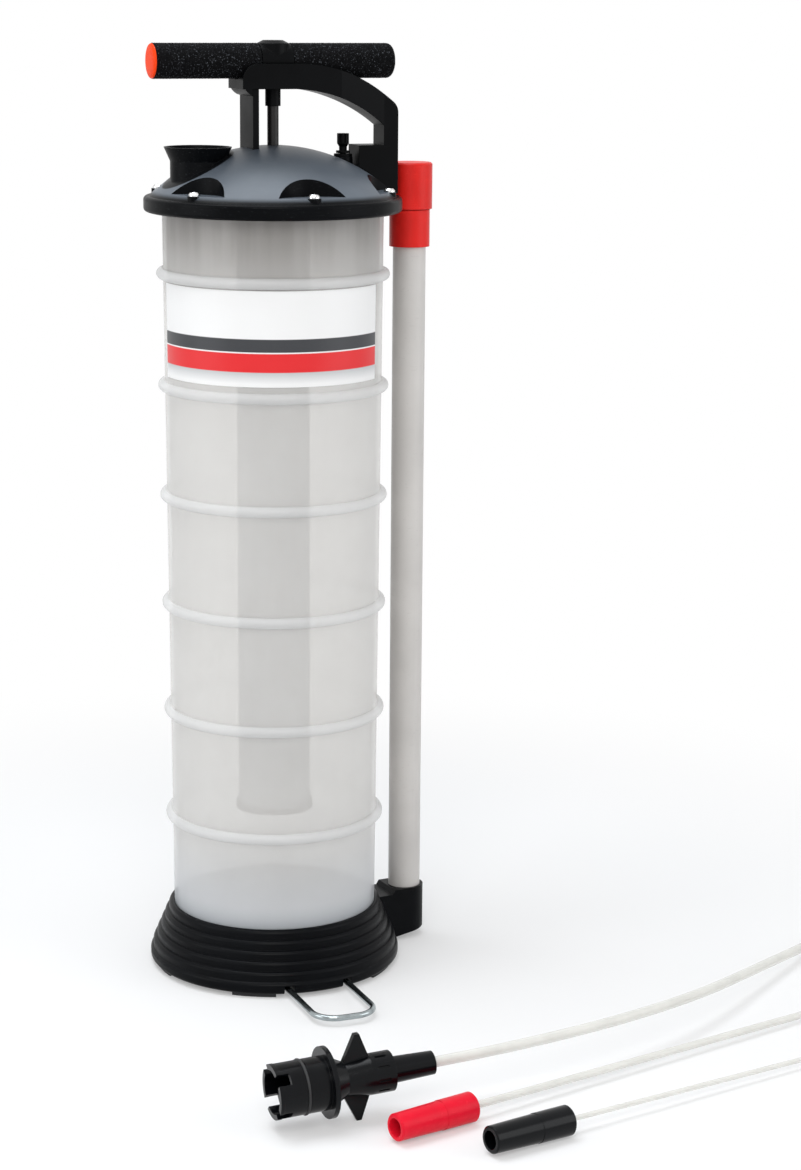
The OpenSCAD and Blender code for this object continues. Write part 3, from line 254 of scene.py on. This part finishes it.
def build_handling_scratches():
    """Fine scratches in two directions, as a mask."""
    tree, inlet, outlet = new_group(
        "handling_scratches",
        [("Scale", "NodeSocketFloat", 60.0)],
        [("Mask", "NodeSocketFloat")],
    )
    where = add(tree, "ShaderNodeTexCoord").outputs["Object"]
    masks = []
    for turn, stretch in (((0.5, 0.2, 0.3), (1.0, 14.0, 14.0)), ((-0.4, 0.7, 1.2), (14.0, 1.0, 14.0))):
        mapping = add(tree, "ShaderNodeMapping")
        mapping.inputs["Rotation"].default_value = turn
        mapping.inputs["Scale"].default_value = stretch
        tree.links.new(where, mapping.inputs["Vector"])
        lines = noise(tree, mapping.outputs["Vector"], inlet.outputs["Scale"], 2.0, 0.5)
        masks.append(ramp_range(tree, lines, 0.66, 0.72))
    tree.links.new(math_node(tree, "MAXIMUM", *masks), outlet.inputs["Mask"])
    return tree


GRAIN = build_moulded_grain()
EDGES = build_worn_edges()
DUST = build_settled_dust()
SCRATCHES = build_handling_scratches()


def use_group(tree, group, **values):
    node = add(tree, "ShaderNodeGroup", node_tree=group)
    for label, value in values.items():
        node.inputs[label.replace("_", " ")].default_value = value
    return node


def new_material(name):
    mat = bpy.data.materials.new(name + "_finish")
    mat.use_nodes = True
    tree = mat.node_tree
    return mat, tree, tree.nodes["Principled BSDF"]


def bump(tree, height, strength, distance, normal=None):
    node = add(tree, "ShaderNodeBump")
    node.inputs["Strength"].default_value = strength
    node.inputs["Distance"].default_value = distance
    tree.links.new(height, node.inputs["Height"])
    if normal is not None:
        tree.links.new(normal, node.inputs["Normal"])
    return node.outputs["Normal"]


def plastic(name, colour, rough, grain=1800.0, edge=0.6, worn=0.35, dust=0.12, scratch=0.15, specular=0.5,
            tone=0.18):
    """Moulded plastic or rubber with grain, rounded and rubbed edges, scratches and a little dust."""
    mat, tree, shader = new_material(name)
    grains = use_group(tree, GRAIN, Grain_Scale=grain)
    edges = use_group(tree, EDGES, Radius=edge * MM)
    marks = use_group(tree, SCRATCHES)
    light = tuple(min(1.0, v * 1.6 + 0.035) for v in colour)
    deep = tuple(v * (1.0 - tone) for v in colour)
    pale = tuple(v * (1.0 + tone) for v in colour)
    base = mix_colour(tree, ramp_range(tree, grains.outputs["Tone"], 0.3, 0.7), deep, pale)
    base = mix_colour(tree, math_node(tree, "MULTIPLY", edges.outputs["Mask"], worn), base, light)
    base = mix_colour(tree, math_node(tree, "MULTIPLY", marks.outputs["Mask"], scratch), base, light)
    powder = use_group(tree, DUST)
    base = mix_colour(tree, math_node(tree, "MULTIPLY", powder.outputs["Mask"], dust), base, DUST_COLOUR)
    tree.links.new(base, shader.inputs["Base Color"])
    gloss = ramp_range(tree, grains.outputs["Tone"], 0.25, 0.75, rough - 0.06, rough + 0.07)
    gloss = math_node(tree, "ADD", gloss, math_node(tree, "MULTIPLY", marks.outputs["Mask"], 0.5 * scratch))
    tree.links.new(gloss, shader.inputs["Roughness"])
    shader.inputs["Specular IOR Level"].default_value = specular
    shine = bump(tree, grains.outputs["Height"], 0.15, 0.15 * MM, edges.outputs["Normal"])
    tree.links.new(shine, shader.inputs["Normal"])
    return mat


def steel(name, colour, rough, brushed=(1.0, 1.0, 12.0)):
    """Bright drawn or turned steel with fine brushed lines and a dull cast in places."""
    mat, tree, shader = new_material(name)
    where = add(tree, "ShaderNodeTexCoord").outputs["Object"]
    mapping = add(tree, "ShaderNodeMapping")
    mapping.inputs["Scale"].default_value = brushed
    tree.links.new(where, mapping.inputs["Vector"])
    lines = noise(tree, mapping.outputs["Vector"], 1500.0, 2.0)
    cast = noise(tree, where, 180.0, 3.0)
    tarnish = tuple(v * 0.72 for v in colour)
    base = mix_colour(tree, ramp_range(tree, cast, 0.4, 0.75), colour, tarnish)
    tree.links.new(base, shader.inputs["Base Color"])
    shader.inputs["Metallic"].default_value = 1.0
    gloss = ramp_range(tree, lines, 0.3, 0.7, rough - 0.08, rough + 0.1)
    tree.links.new(gloss, shader.inputs["Roughness"])
    edges = use_group(tree, EDGES, Radius=0.25 * MM)
    tree.links.new(bump(tree, lines, 0.12, 0.05 * MM, edges.outputs["Normal"]), shader.inputs["Normal"])
    return mat


def milky_wall(name):
    """Milky tank plastic: see-through in the thin wall, whiter and denser in the ribs and flange, with
    painted shade under the lid.
    """
    mat, tree, shader = new_material(name)
    where = add(tree, "ShaderNodeTexCoord").outputs["Object"]
    place = add(tree, "ShaderNodeSeparateXYZ")
    tree.links.new(where, place.inputs[0])
    height = place.outputs["Z"]
    square = math_node(tree, "ADD", math_node(tree, "POWER", place.outputs["X"], 2.0),
                       math_node(tree, "POWER", place.outputs["Y"], 2.0))
    out = math_node(tree, "SQRT", square)
    wall = ramp_range(tree, height, WALL_FOOT_Z, WALL_TOP_Z, WALL_FOOT_R, WALL_TOP_R, smooth=False)
    proud = math_node(tree, "SUBTRACT", out, wall)
    rib = ramp_range(tree, proud, 0.3 * MM, 1.6 * MM)
    cloud = noise(tree, where, 16.0, 3.0, 0.5)
    flow = add(tree, "ShaderNodeMapping")
    flow.inputs["Scale"].default_value = (1.0, 1.0, 0.08)
    tree.links.new(where, flow.inputs["Vector"])
    streak = noise(tree, flow.outputs["Vector"], 70.0, 3.0, 0.6)
    low = ramp_range(tree, height, 45.0 * MM, 110.0 * MM, 1.0, 0.0)
    milk = ramp_range(tree, cloud, 0.2, 0.8)
    base = mix_colour(tree, milk, (0.78, 0.765, 0.742), (0.80, 0.785, 0.762))
    base = mix_colour(tree, math_node(tree, "MULTIPLY", streak, 0.25), base, (0.84, 0.83, 0.815))
    base = mix_colour(tree, math_node(tree, "MULTIPLY", low, 0.6), base, (0.66, 0.69, 0.74))
    # Painted shade under the lid: the wall darkens and grows denser towards the brim, broken a little by the
    # streaks
    lid_shade = ramp_range(tree, height, LID_SHADE_FROM_Z, LID_SHADE_FULL_Z)
    lid_shade = math_node(tree, "MULTIPLY", lid_shade, ramp_range(tree, streak, 0.2, 0.8, 0.75, 0.95))
    base = mix_colour(tree, lid_shade, base, (0.24, 0.225, 0.21))
    shade = ramp_range(tree, height, 58.0 * MM, 40.0 * MM, 0.0, 0.5)
    base = mix_colour(tree, shade, base, (0.30, 0.34, 0.37))
    base = mix_colour(tree, math_node(tree, "MULTIPLY", rib, 0.75), base, (0.72, 0.725, 0.73))
    tree.links.new(base, shader.inputs["Base Color"])
    dense = ramp_range(tree, cloud, 0.2, 0.8, 0.425, 0.455)
    dense = math_node(tree, "ADD", dense, math_node(tree, "MULTIPLY", low, 0.12))
    dense = math_node(tree, "ADD", dense, math_node(tree, "MULTIPLY", lid_shade, 0.17))
    dense = math_node(tree, "ADD", dense, math_node(tree, "MULTIPLY", rib, 0.14))
    tree.links.new(dense, shader.inputs["Alpha"])
    gloss = ramp_range(tree, streak, 0.3, 0.7, 0.34, 0.46)
    tree.links.new(gloss, shader.inputs["Roughness"])
    shader.inputs["Specular IOR Level"].default_value = 0.35
    grain = use_group(tree, GRAIN, Grain_Scale=700.0)
    tree.links.new(bump(tree, grain.outputs["Height"], 0.06, 0.2 * MM), shader.inputs["Normal"])
    return mat


def clear_tube(name, colour, dense, rough=0.36):
    """Drawn translucent tube: slightly cloudy, with faint draw lines."""
    mat, tree, shader = new_material(name)
    where = add(tree, "ShaderNodeTexCoord").outputs["Object"]
    cloud = noise(tree, where, 60.0, 3.0)
    pale = tuple(min(1.0, v * 1.05) for v in colour)
    milk = ramp_range(tree, cloud, 0.3, 0.7)
    tree.links.new(mix_colour(tree, milk, colour, pale), shader.inputs["Base Color"])
    solid = ramp_range(tree, cloud, 0.3, 0.7, dense - 0.02, dense + 0.02)
    tree.links.new(solid, shader.inputs["Alpha"])
    lines = noise(tree, where, 900.0)
    gloss = ramp_range(tree, lines, 0.3, 0.7, rough - 0.06, rough + 0.08)
    tree.links.new(gloss, shader.inputs["Roughness"])
    tree.links.new(bump(tree, lines, 0.08, 0.1 * MM), shader.inputs["Normal"])
    return mat


def drawn_tube(name, colour, rough):
    """Extruded opaque tube with fine lines along its length and a soft sheen."""
    mat, tree, shader = new_material(name)
    where = add(tree, "ShaderNodeTexCoord").outputs["Object"]
    along = add(tree, "ShaderNodeMapping")
    along.inputs["Scale"].default_value = (1.0, 1.0, 0.02)
    tree.links.new(where, along.inputs["Vector"])
    lines = noise(tree, along.outputs["Vector"], 420.0, 3.0)
    tone = noise(tree, where, 22.0, 3.0)
    dull = tuple(v * 0.9 for v in colour)
    base = mix_colour(tree, ramp_range(tree, tone, 0.3, 0.7), dull, colour)
    drawn = math_node(tree, "MULTIPLY", ramp_range(tree, lines, 0.55, 0.75), 0.3)
    base = mix_colour(tree, drawn, base, dull)
    marks = use_group(tree, SCRATCHES, Scale=45.0)
    base = mix_colour(tree, math_node(tree, "MULTIPLY", marks.outputs["Mask"], 0.2), base,
                      tuple(v * 0.7 for v in colour))
    tree.links.new(base, shader.inputs["Base Color"])
    gloss = ramp_range(tree, lines, 0.3, 0.7, rough - 0.06, rough + 0.08)
    tree.links.new(gloss, shader.inputs["Roughness"])
    edges = use_group(tree, EDGES, Radius=0.3 * MM)
    tree.links.new(bump(tree, lines, 0.08, 0.1 * MM, edges.outputs["Normal"]), shader.inputs["Normal"])
    return mat


# Printed panel: plain stripes, from the top edge down, as height and colour
LABEL_WHITE = (0.83, 0.83, 0.83)
LABEL_GREY = (0.035, 0.037, 0.042)
LABEL_RED = (0.72, 0.012, 0.016)
LABEL_SHADE = (0.50, 0.51, 0.52)
LABEL_STRIPES = (
    (404.4, LABEL_WHITE), (406.5, LABEL_WHITE), (413.8, LABEL_SHADE), (414.0, LABEL_RED),
    (425.8, LABEL_RED), (426.0, LABEL_WHITE), (426.6, LABEL_WHITE), (426.8, LABEL_GREY),
    (434.9, LABEL_GREY), (435.1, LABEL_WHITE), (465.6, LABEL_WHITE),
)


def printed_film(name):
    """Glossy printed film with plain stripes at fixed heights."""
    mat, tree, shader = new_material(name)
    where = add(tree, "ShaderNodeTexCoord").outputs["Object"]
    place = add(tree, "ShaderNodeSeparateXYZ")
    tree.links.new(where, place.inputs[0])
    low, high = LABEL_STRIPES[0][0], LABEL_STRIPES[-1][0]
    share = ramp_range(tree, place.outputs["Z"], low * MM, high * MM, smooth=False)
    bands = add(tree, "ShaderNodeValToRGB")
    stops = bands.color_ramp.elements
    while len(stops) < len(LABEL_STRIPES):
        stops.new(0.5)
    for stop, (z, colour) in zip(stops, LABEL_STRIPES):
        stop.position = (z - low) / (high - low)
        stop.color = (*colour, 1.0)
    tree.links.new(share, bands.inputs["Fac"])
    ink = noise(tree, where, 2200.0, 2.0)
    specks = math_node(tree, "MULTIPLY", ink, 0.05)
    base = mix_colour(tree, specks, bands.outputs["Color"], (0.3, 0.3, 0.3))
    tree.links.new(base, shader.inputs["Base Color"])
    ripple = noise(tree, where, 40.0, 2.0)
    tree.links.new(ramp_range(tree, ripple, 0.3, 0.7, 0.29, 0.37), shader.inputs["Roughness"])
    tree.links.new(bump(tree, ripple, 0.03, 0.3 * MM), shader.inputs["Normal"])
    shader.inputs["Specular IOR Level"].default_value = 0.35
    return mat


def speckled_foam(name):
    """Closed-cell foam: black, with small pale flecks and pits."""
    mat, tree, shader = new_material(name)
    where = add(tree, "ShaderNodeTexCoord").outputs["Object"]
    bead = add(tree, "ShaderNodeAttribute", attribute_name="fleck")
    cells = add(tree, "ShaderNodeTexVoronoi")
    cells.inputs["Scale"].default_value = 900.0
    tree.links.new(where, cells.inputs["Vector"])
    tint = add(tree, "ShaderNodeSeparateColor")
    tree.links.new(cells.outputs["Color"], tint.inputs[0])
    pale = ramp_range(tree, tint.outputs["Red"], 0.86, 0.97)
    core = ramp_range(tree, cells.outputs["Distance"], 0.5, 0.2)
    fleck = math_node(tree, "MULTIPLY", pale, core)
    fleck = math_node(tree, "MAXIMUM", fleck, math_node(tree, "POWER", bead.outputs["Fac"], 3.0))
    base = mix_colour(tree, fleck, (0.0022, 0.0022, 0.0026), (0.068, 0.073, 0.083))
    tree.links.new(base, shader.inputs["Base Color"])
    gloss = ramp_range(tree, noise(tree, where, 500.0), 0.3, 0.7, 0.72, 0.95)
    tree.links.new(gloss, shader.inputs["Roughness"])
    tree.links.new(bump(tree, cells.outputs["Distance"], 0.6, 0.4 * MM), shader.inputs["Normal"])
    shader.inputs["Specular IOR Level"].default_value = 0.07
    return mat


def lid_plastic(name):
    """Lid: black plastic; the dome's upward faces are slate grey, partly a matte finish and partly painted
    light from above, with a painted highlight round the skirt fading to a darker crown; brim, pockets and
    spout are black.
    """
    mat, tree, shader = new_material(name)
    where = add(tree, "ShaderNodeTexCoord").outputs["Object"]
    place = add(tree, "ShaderNodeSeparateXYZ")
    tree.links.new(where, place.inputs[0])
    facing = add(tree, "ShaderNodeSeparateXYZ")
    tree.links.new(add(tree, "ShaderNodeNewGeometry").outputs["Normal"], facing.inputs[0])
    above = ramp_range(tree, place.outputs["Z"], BRIM_TOP + 0.5 * MM, BRIM_TOP + 4.0 * MM)
    upward = ramp_range(tree, facing.outputs["Z"], 0.2, 0.55)
    spout = add(tree, "ShaderNodeVectorMath", operation="DISTANCE")
    spout.inputs[1].default_value = (SPOUT_X, 0.0, 0.0)
    flat = add(tree, "ShaderNodeCombineXYZ")
    tree.links.new(place.outputs["X"], flat.inputs["X"])
    tree.links.new(place.outputs["Y"], flat.inputs["Y"])
    tree.links.new(flat.outputs["Vector"], spout.inputs[0])
    beside = ramp_range(tree, spout.outputs["Value"], SPOUT_R, SPOUT_R + 1.0 * MM)
    # The dome mask takes the faces that look up, above the brim and clear of the spout: these get the
    # painted light from above
    dome = math_node(tree, "MULTIPLY", math_node(tree, "MULTIPLY", above, upward), beside)
    grains = use_group(tree, GRAIN, Grain_Scale=1400.0)
    edges = use_group(tree, EDGES, Radius=0.7 * MM)
    marks = use_group(tree, SCRATCHES)
    powder = use_group(tree, DUST)
    tone = ramp_range(tree, grains.outputs["Tone"], 0.3, 0.7)
    # Painted light on the dome: partly a matte finish, partly painted light from above, with a painted
    # highlight round the lower skirt that fades to a darker crown
    crown = mix_colour(tree, tone, (0.016, 0.021, 0.028), (0.021, 0.027, 0.035))
    skirt = mix_colour(tree, tone, (0.080, 0.096, 0.117), (0.096, 0.114, 0.137))
    rise = ramp_range(tree, place.outputs["Z"], BRIM_TOP + 6.0 * MM, BRIM_TOP + 34.0 * MM)
    dome_finish_and_light = mix_colour(tree, rise, skirt, crown)
    polished = mix_colour(tree, tone, (0.0015, 0.0018, 0.0024), (0.0022, 0.0026, 0.0034))
    base = mix_colour(tree, dome, polished, dome_finish_and_light)
    rubbed = math_node(tree, "MULTIPLY", edges.outputs["Mask"], 0.12)
    base = mix_colour(tree, rubbed, base, (0.09, 0.10, 0.11))
    scored = math_node(tree, "MULTIPLY", marks.outputs["Mask"], 0.08)
    base = mix_colour(tree, scored, base, (0.12, 0.13, 0.14))
    base = mix_colour(tree, math_node(tree, "MULTIPLY", powder.outputs["Mask"], 0.03), base, DUST_COLOUR)
    tree.links.new(base, shader.inputs["Base Color"])
    gloss = math_node(tree, "ADD", ramp_range(tree, dome, 0.0, 1.0, 0.34, 0.42),
                      ramp_range(tree, tone, 0.0, 1.0, -0.04, 0.05))
    tree.links.new(gloss, shader.inputs["Roughness"])
    shader.inputs["Specular IOR Level"].default_value = 0.05
    tree.links.new(math_node(tree, "MULTIPLY", dome, 0.5), shader.inputs["Coat Weight"])
    shader.inputs["Coat Roughness"].default_value = 0.4
    tree.links.new(bump(tree, grains.outputs["Height"], 0.25, 0.15 * MM, edges.outputs["Normal"]),
                   shader.inputs["Normal"])
    return mat


# Moulded plastics and rubbers by material slot
MOULDED = {
    "foot_plastic": dict(colour=(0.0018, 0.0022, 0.003), rough=0.34, grain=1300.0, edge=0.5, worn=0.08,
                         dust=0.006, scratch=0.04, specular=0.07),
    "pad_rubber": dict(colour=(0.014, 0.015, 0.017), rough=0.7, grain=900.0, edge=0.4, worn=0.15, dust=0.05),
    "inner_plastic": dict(colour=(0.05, 0.05, 0.055), rough=0.5),
    "seal_rubber": dict(colour=(0.012, 0.012, 0.013), rough=0.6, edge=0.3, worn=0.1, dust=0.02),
    "handle_plastic": dict(colour=(0.0016, 0.0018, 0.0022), rough=0.38, edge=0.9, worn=0.06, dust=0.006,
                           scratch=0.03, specular=0.06),
    "barrel_plastic": dict(colour=(0.29, 0.305, 0.325), rough=0.45, worn=0.1, dust=0.0),
    "rod_steel": dict(colour=(0.006, 0.005, 0.005), rough=0.36, grain=3000.0, worn=0.15, dust=0.0,
                      specular=0.3),
    "orange_plastic": dict(colour=(0.84, 0.052, 0.005), rough=0.42, worn=0.1, dust=0.0, tone=0.06,
                           specular=0.08),
    "red_plastic": dict(colour=(0.66, 0.014, 0.010), rough=0.38, edge=0.8, worn=0.2, dust=0.02, tone=0.1,
                        specular=0.2),
    "plug_plastic": dict(colour=(0.0018, 0.0022, 0.003), rough=0.17, edge=0.5, worn=0.1, dust=0.006,
                         scratch=0.05, specular=0.16),
    "red_sleeve_plastic": dict(colour=(0.75, 0.008, 0.028), rough=0.35, worn=0.12, dust=0.0, tone=0.1,
                               specular=0.14),
}

# Every material slot's finish
FINISH = {slot: plastic(slot, **look) for slot, look in MOULDED.items()}
FINISH["stirrup_steel"] = steel("stirrup_steel", (0.36, 0.40, 0.41), 0.17)
FINISH["screw_steel"] = steel("screw_steel", (0.80, 0.80, 0.80), 0.17, brushed=(6.0, 6.0, 1.0))
FINISH["tank_plastic"] = milky_wall("tank_plastic")
FINISH["label_film"] = printed_film("label_film")
FINISH["lid_plastic"] = lid_plastic("lid_plastic")
FINISH["side_tube_plastic"] = drawn_tube("side_tube_plastic", (0.57, 0.55, 0.53), 0.4)
FINISH["probe_plastic"] = clear_tube("probe_plastic", (0.82, 0.81, 0.77), 0.6)
FINISH["grip_foam"] = speckled_foam("grip_foam")


def dress_frame():
    """Gives every CAD node the material of its slot."""
    slots = {row["node"]: row["material_slot"] for row in frame["record"]["subparts"]}
    for name, obj in CAD.items():
        obj.data.materials.clear()
        obj.data.materials.append(FINISH[slots[name]])


# New pieces

def new_piece(name, mesh, body, slot, *nodes):
    piece = bpy.data.objects.new(name, mesh)
    SCENE.collection.objects.link(piece)
    if not mesh.materials:
        mesh.materials.append(FINISH[slot])
    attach(piece, body)
    if nodes:
        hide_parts(*nodes)
    return piece


def turned_mesh(name, outline, centre, side, steps=72):
    """A closed body of revolution about X: outline holds (distance from the middle, radius) points."""
    bm = bmesh.new()
    rings = []
    for along, radius in outline:
        ring = []
        for k in range(steps):
            a = 2.0 * math.pi * k / steps
            ring.append(bm.verts.new((centre.x + side * along, centre.y + radius * math.cos(a),
                                      centre.z + radius * math.sin(a))))
        rings.append(ring)
    for i in range(len(rings)):
        a, b = rings[i], rings[(i + 1) % len(rings)]
        for k in range(steps):
            n = (k + 1) % steps
            bm.faces.new((a[k], a[n], b[n], b[k]))
    bmesh.ops.remove_doubles(bm, verts=bm.verts, dist=1e-6)
    bmesh.ops.recalc_face_normals(bm, faces=bm.faces)
    mesh = bpy.data.meshes.new(name)
    bm.to_mesh(mesh)
    bm.free()
    for face in mesh.polygons:
        face.use_smooth = True
    return mesh


def arc(along, radius, size, start, end, steps=8):
    """Points of a rounded edge, as angles in degrees from the outward axis."""
    points = []
    for k in range(steps + 1):
        a = math.radians(start + (end - start) * k / steps)
        points.append((along + size * math.cos(a), radius + size * math.sin(a)))
    return points


def foam_beads_tree():
    """Geometry Nodes: scatters small foam beads over a surface and joins them to it."""
    tree = bpy.data.node_groups.new("foam_beads", "GeometryNodeTree")
    face = tree.interface
    face.new_socket("Geometry", in_out="INPUT", socket_type="NodeSocketGeometry")
    for label, kind in (("Beads per Area", "NodeSocketFloat"), ("Bead Radius", "NodeSocketFloat"),
                        ("Seed", "NodeSocketInt"), ("Foam", "NodeSocketMaterial")):
        face.new_socket(label, in_out="INPUT", socket_type=kind)
    face.new_socket("Geometry", in_out="OUTPUT", socket_type="NodeSocketGeometry")
    inlet, outlet = add(tree, "NodeGroupInput"), add(tree, "NodeGroupOutput")
    scatter = add(tree, "GeometryNodeDistributePointsOnFaces")
    bead = add(tree, "GeometryNodeMeshIcoSphere")
    bead.inputs["Subdivisions"].default_value = 1
    place = add(tree, "GeometryNodeInstanceOnPoints")
    size = add(tree, "FunctionNodeRandomValue", data_type="FLOAT_VECTOR")
    size.inputs["Min"].default_value = (0.6, 0.6, 0.25)
    size.inputs["Max"].default_value = (1.5, 1.5, 0.6)
    shade = add(tree, "FunctionNodeRandomValue", data_type="FLOAT")
    keep = add(tree, "GeometryNodeStoreNamedAttribute", data_type="FLOAT", domain="INSTANCE")
    keep.inputs["Name"].default_value = "fleck"
    real = add(tree, "GeometryNodeRealizeInstances")
    join = add(tree, "GeometryNodeJoinGeometry")
    paint = add(tree, "GeometryNodeSetMaterial")
    link = tree.links.new
    link(inlet.outputs["Geometry"], scatter.inputs["Mesh"])
    link(inlet.outputs["Beads per Area"], scatter.inputs["Density"])
    link(inlet.outputs["Seed"], scatter.inputs["Seed"])
    link(inlet.outputs["Bead Radius"], bead.inputs["Radius"])
    link(scatter.outputs["Points"], place.inputs["Points"])
    link(scatter.outputs["Rotation"], place.inputs["Rotation"])
    link(bead.outputs["Mesh"], place.inputs["Instance"])
    link(inlet.outputs["Seed"], size.inputs["Seed"])
    link(size.outputs["Value"], place.inputs["Scale"])
    link(inlet.outputs["Seed"], shade.inputs["Seed"])
    link(place.outputs["Instances"], keep.inputs["Geometry"])
    link([s for s in shade.outputs if s.enabled][0], keep.inputs["Value"])
    link(keep.outputs["Geometry"], real.inputs["Geometry"])
    link(inlet.outputs["Geometry"], join.inputs["Geometry"])
    link(real.outputs["Geometry"], join.inputs["Geometry"])
    link(join.outputs["Geometry"], paint.inputs["Geometry"])
    link(inlet.outputs["Foam"], paint.inputs["Material"])
    link(paint.outputs["Geometry"], outlet.inputs["Geometry"])
    return tree


def grown_mesh(name, mesh, tree, values):
    """The mesh after a Geometry Nodes tree has run on it, as a plain mesh."""
    holder = bpy.data.objects.new(name + "_source", mesh)
    SCENE.collection.objects.link(holder)
    mod = holder.modifiers.new("grow", "NODES")
    mod.node_group = tree
    for item in tree.interface.items_tree:
        if item.in_out == "INPUT" and item.name in values:
            mod[item.identifier] = values[item.name]
    done = bpy.data.meshes.new_from_object(holder.evaluated_get(bpy.context.evaluated_depsgraph_get()))
    done.name = name
    bpy.data.objects.remove(holder)
    return done


def grip_outline(end, end_round):
    """Foam sleeve in section: rounded at the hub, rounded by end_round at the outer end."""
    inner = 1.0 * MM
    points = [(GRIP_START, BAR_R)]
    points += arc(GRIP_START + inner, GRIP_R - inner, inner, 180.0, 90.0, 4)
    stretch = end - end_round - (GRIP_START + inner)
    points += [(GRIP_START + inner + stretch * k / GRIP_STEPS, GRIP_R) for k in range(1, GRIP_STEPS)]
    points += arc(end - end_round, GRIP_R - end_round, end_round, 90.0, 0.0, 8)
    points.append((end - 0.2 * MM, BAR_R))
    return points


def make_grips():
    """Foam sleeves on the cross bar, in place of their plain solids."""
    beads = foam_beads_tree()
    for name, side, end, end_round, seed in GRIPS:
        low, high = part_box(name)
        centre = Vector((0.0, (low.y + high.y) / 2, (low.z + high.z) / 2))
        sleeve = turned_mesh(name + "_sleeve", grip_outline(end, end_round), centre, side)
        foam = grown_mesh(name + "_foam", sleeve, beads, {
            "Beads per Area": BEADS_PER_AREA,
            "Bead Radius": BEAD_R,
            "Seed": seed,
            "Foam": FINISH["grip_foam"],
        })
        piece = new_piece(name + "_foam", foam, "pump_handle", "grip_foam", name)


def make_end_caps():
    """Domed discs that close the grips' ends."""
    steps = 12
    for name, side, radius, rim_at, swell in END_CAPS:
        low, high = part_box(name)
        centre = Vector((0.0, (low.y + high.y) / 2, (low.z + high.z) / 2))
        outline = [(CAP_BACK, 0.0), (CAP_BACK, radius - 0.6 * MM)]
        for k in range(steps + 1):
            a = math.radians(90.0 * k / steps)
            out = radius * math.cos(a) ** 0.45 if k < steps else 0.0
            outline.append((rim_at + swell * math.sin(a) ** 0.8, out))
        mesh = turned_mesh(name + "_disc", outline, centre, side, 64)
        new_piece(name + "_disc", mesh, "pump_handle", "orange_plastic", name)


# Stage

def make_stage():
    """Pale floor that keeps the shadow, white surroundings and soft lamps."""
    bm = bmesh.new()
    bmesh.ops.create_grid(bm, x_segments=1, y_segments=1, size=6.0)
    mesh = bpy.data.meshes.new("floor")
    bm.to_mesh(mesh)
    bm.free()
    floor = bpy.data.objects.new("floor", mesh)
    SCENE.collection.objects.link(floor)
    mat, tree, shader = new_material("floor_white")
    where = add(tree, "ShaderNodeTexCoord").outputs["Object"]
    tone = noise(tree, where, 3.0, 2.0)
    pale = mix_colour(tree, tone, (0.84, 0.84, 0.845), (0.86, 0.86, 0.865))
    tree.links.new(pale, shader.inputs["Base Color"])
    shader.inputs["Roughness"].default_value = 0.9
    shader.inputs["Specular IOR Level"].default_value = 0.1
    seen = add(tree, "ShaderNodeLightPath")
    away = add(tree, "ShaderNodeVectorMath", operation="LENGTH")
    tree.links.new(where, away.inputs[0])
    fade = ramp_range(tree, away.outputs["Value"], 0.3, 0.75, 0.3, 1.0)
    white = add(tree, "ShaderNodeEmission")
    both = add(tree, "ShaderNodeMixShader")
    plain = math_node(tree, "MAXIMUM", seen.outputs["Is Camera Ray"], seen.outputs["Is Transmission Ray"])
    plain = math_node(tree, "MAXIMUM", plain, seen.outputs["Is Glossy Ray"])
    tree.links.new(math_node(tree, "MULTIPLY", fade, plain), both.inputs["Fac"])
    tree.links.new(shader.outputs["BSDF"], both.inputs[1])
    tree.links.new(white.outputs["Emission"], both.inputs[2])
    tree.links.new(both.outputs["Shader"], tree.nodes["Material Output"].inputs["Surface"])
    mesh.materials.append(mat)

    world = bpy.data.worlds.new("studio")
    SCENE.world = world
    world.use_nodes = True
    tree = world.node_tree
    sky = tree.nodes["Background"]
    rays = add(tree, "ShaderNodeLightPath")
    plain = math_node(tree, "MAXIMUM", rays.outputs["Is Camera Ray"], rays.outputs["Is Transmission Ray"])
    plain = math_node(tree, "MAXIMUM", plain, rays.outputs["Is Glossy Ray"])
    tree.links.new(ramp_range(tree, plain, 0.0, 1.0, WORLD_LIGHT, 1.0), sky.inputs["Strength"])
    sky.inputs["Color"].default_value = (1.0, 1.0, 1.0, 1.0)

    for name, place, size, power, tint in SOFTBOXES:
        lamp = bpy.data.lights.new(name, "AREA")
        lamp.energy = power
        lamp.size = size
        lamp.color = tint
        holder = bpy.data.objects.new(name, lamp)
        holder.location = place
        holder.rotation_euler = (LAMP_AIM - Vector(place)).to_track_quat("-Z", "Y").to_euler()
        SCENE.collection.objects.link(holder)


place_camera()
dress_frame()
make_grips()
make_end_caps()
make_stage()
SCENE.view_settings.view_transform = "Standard"
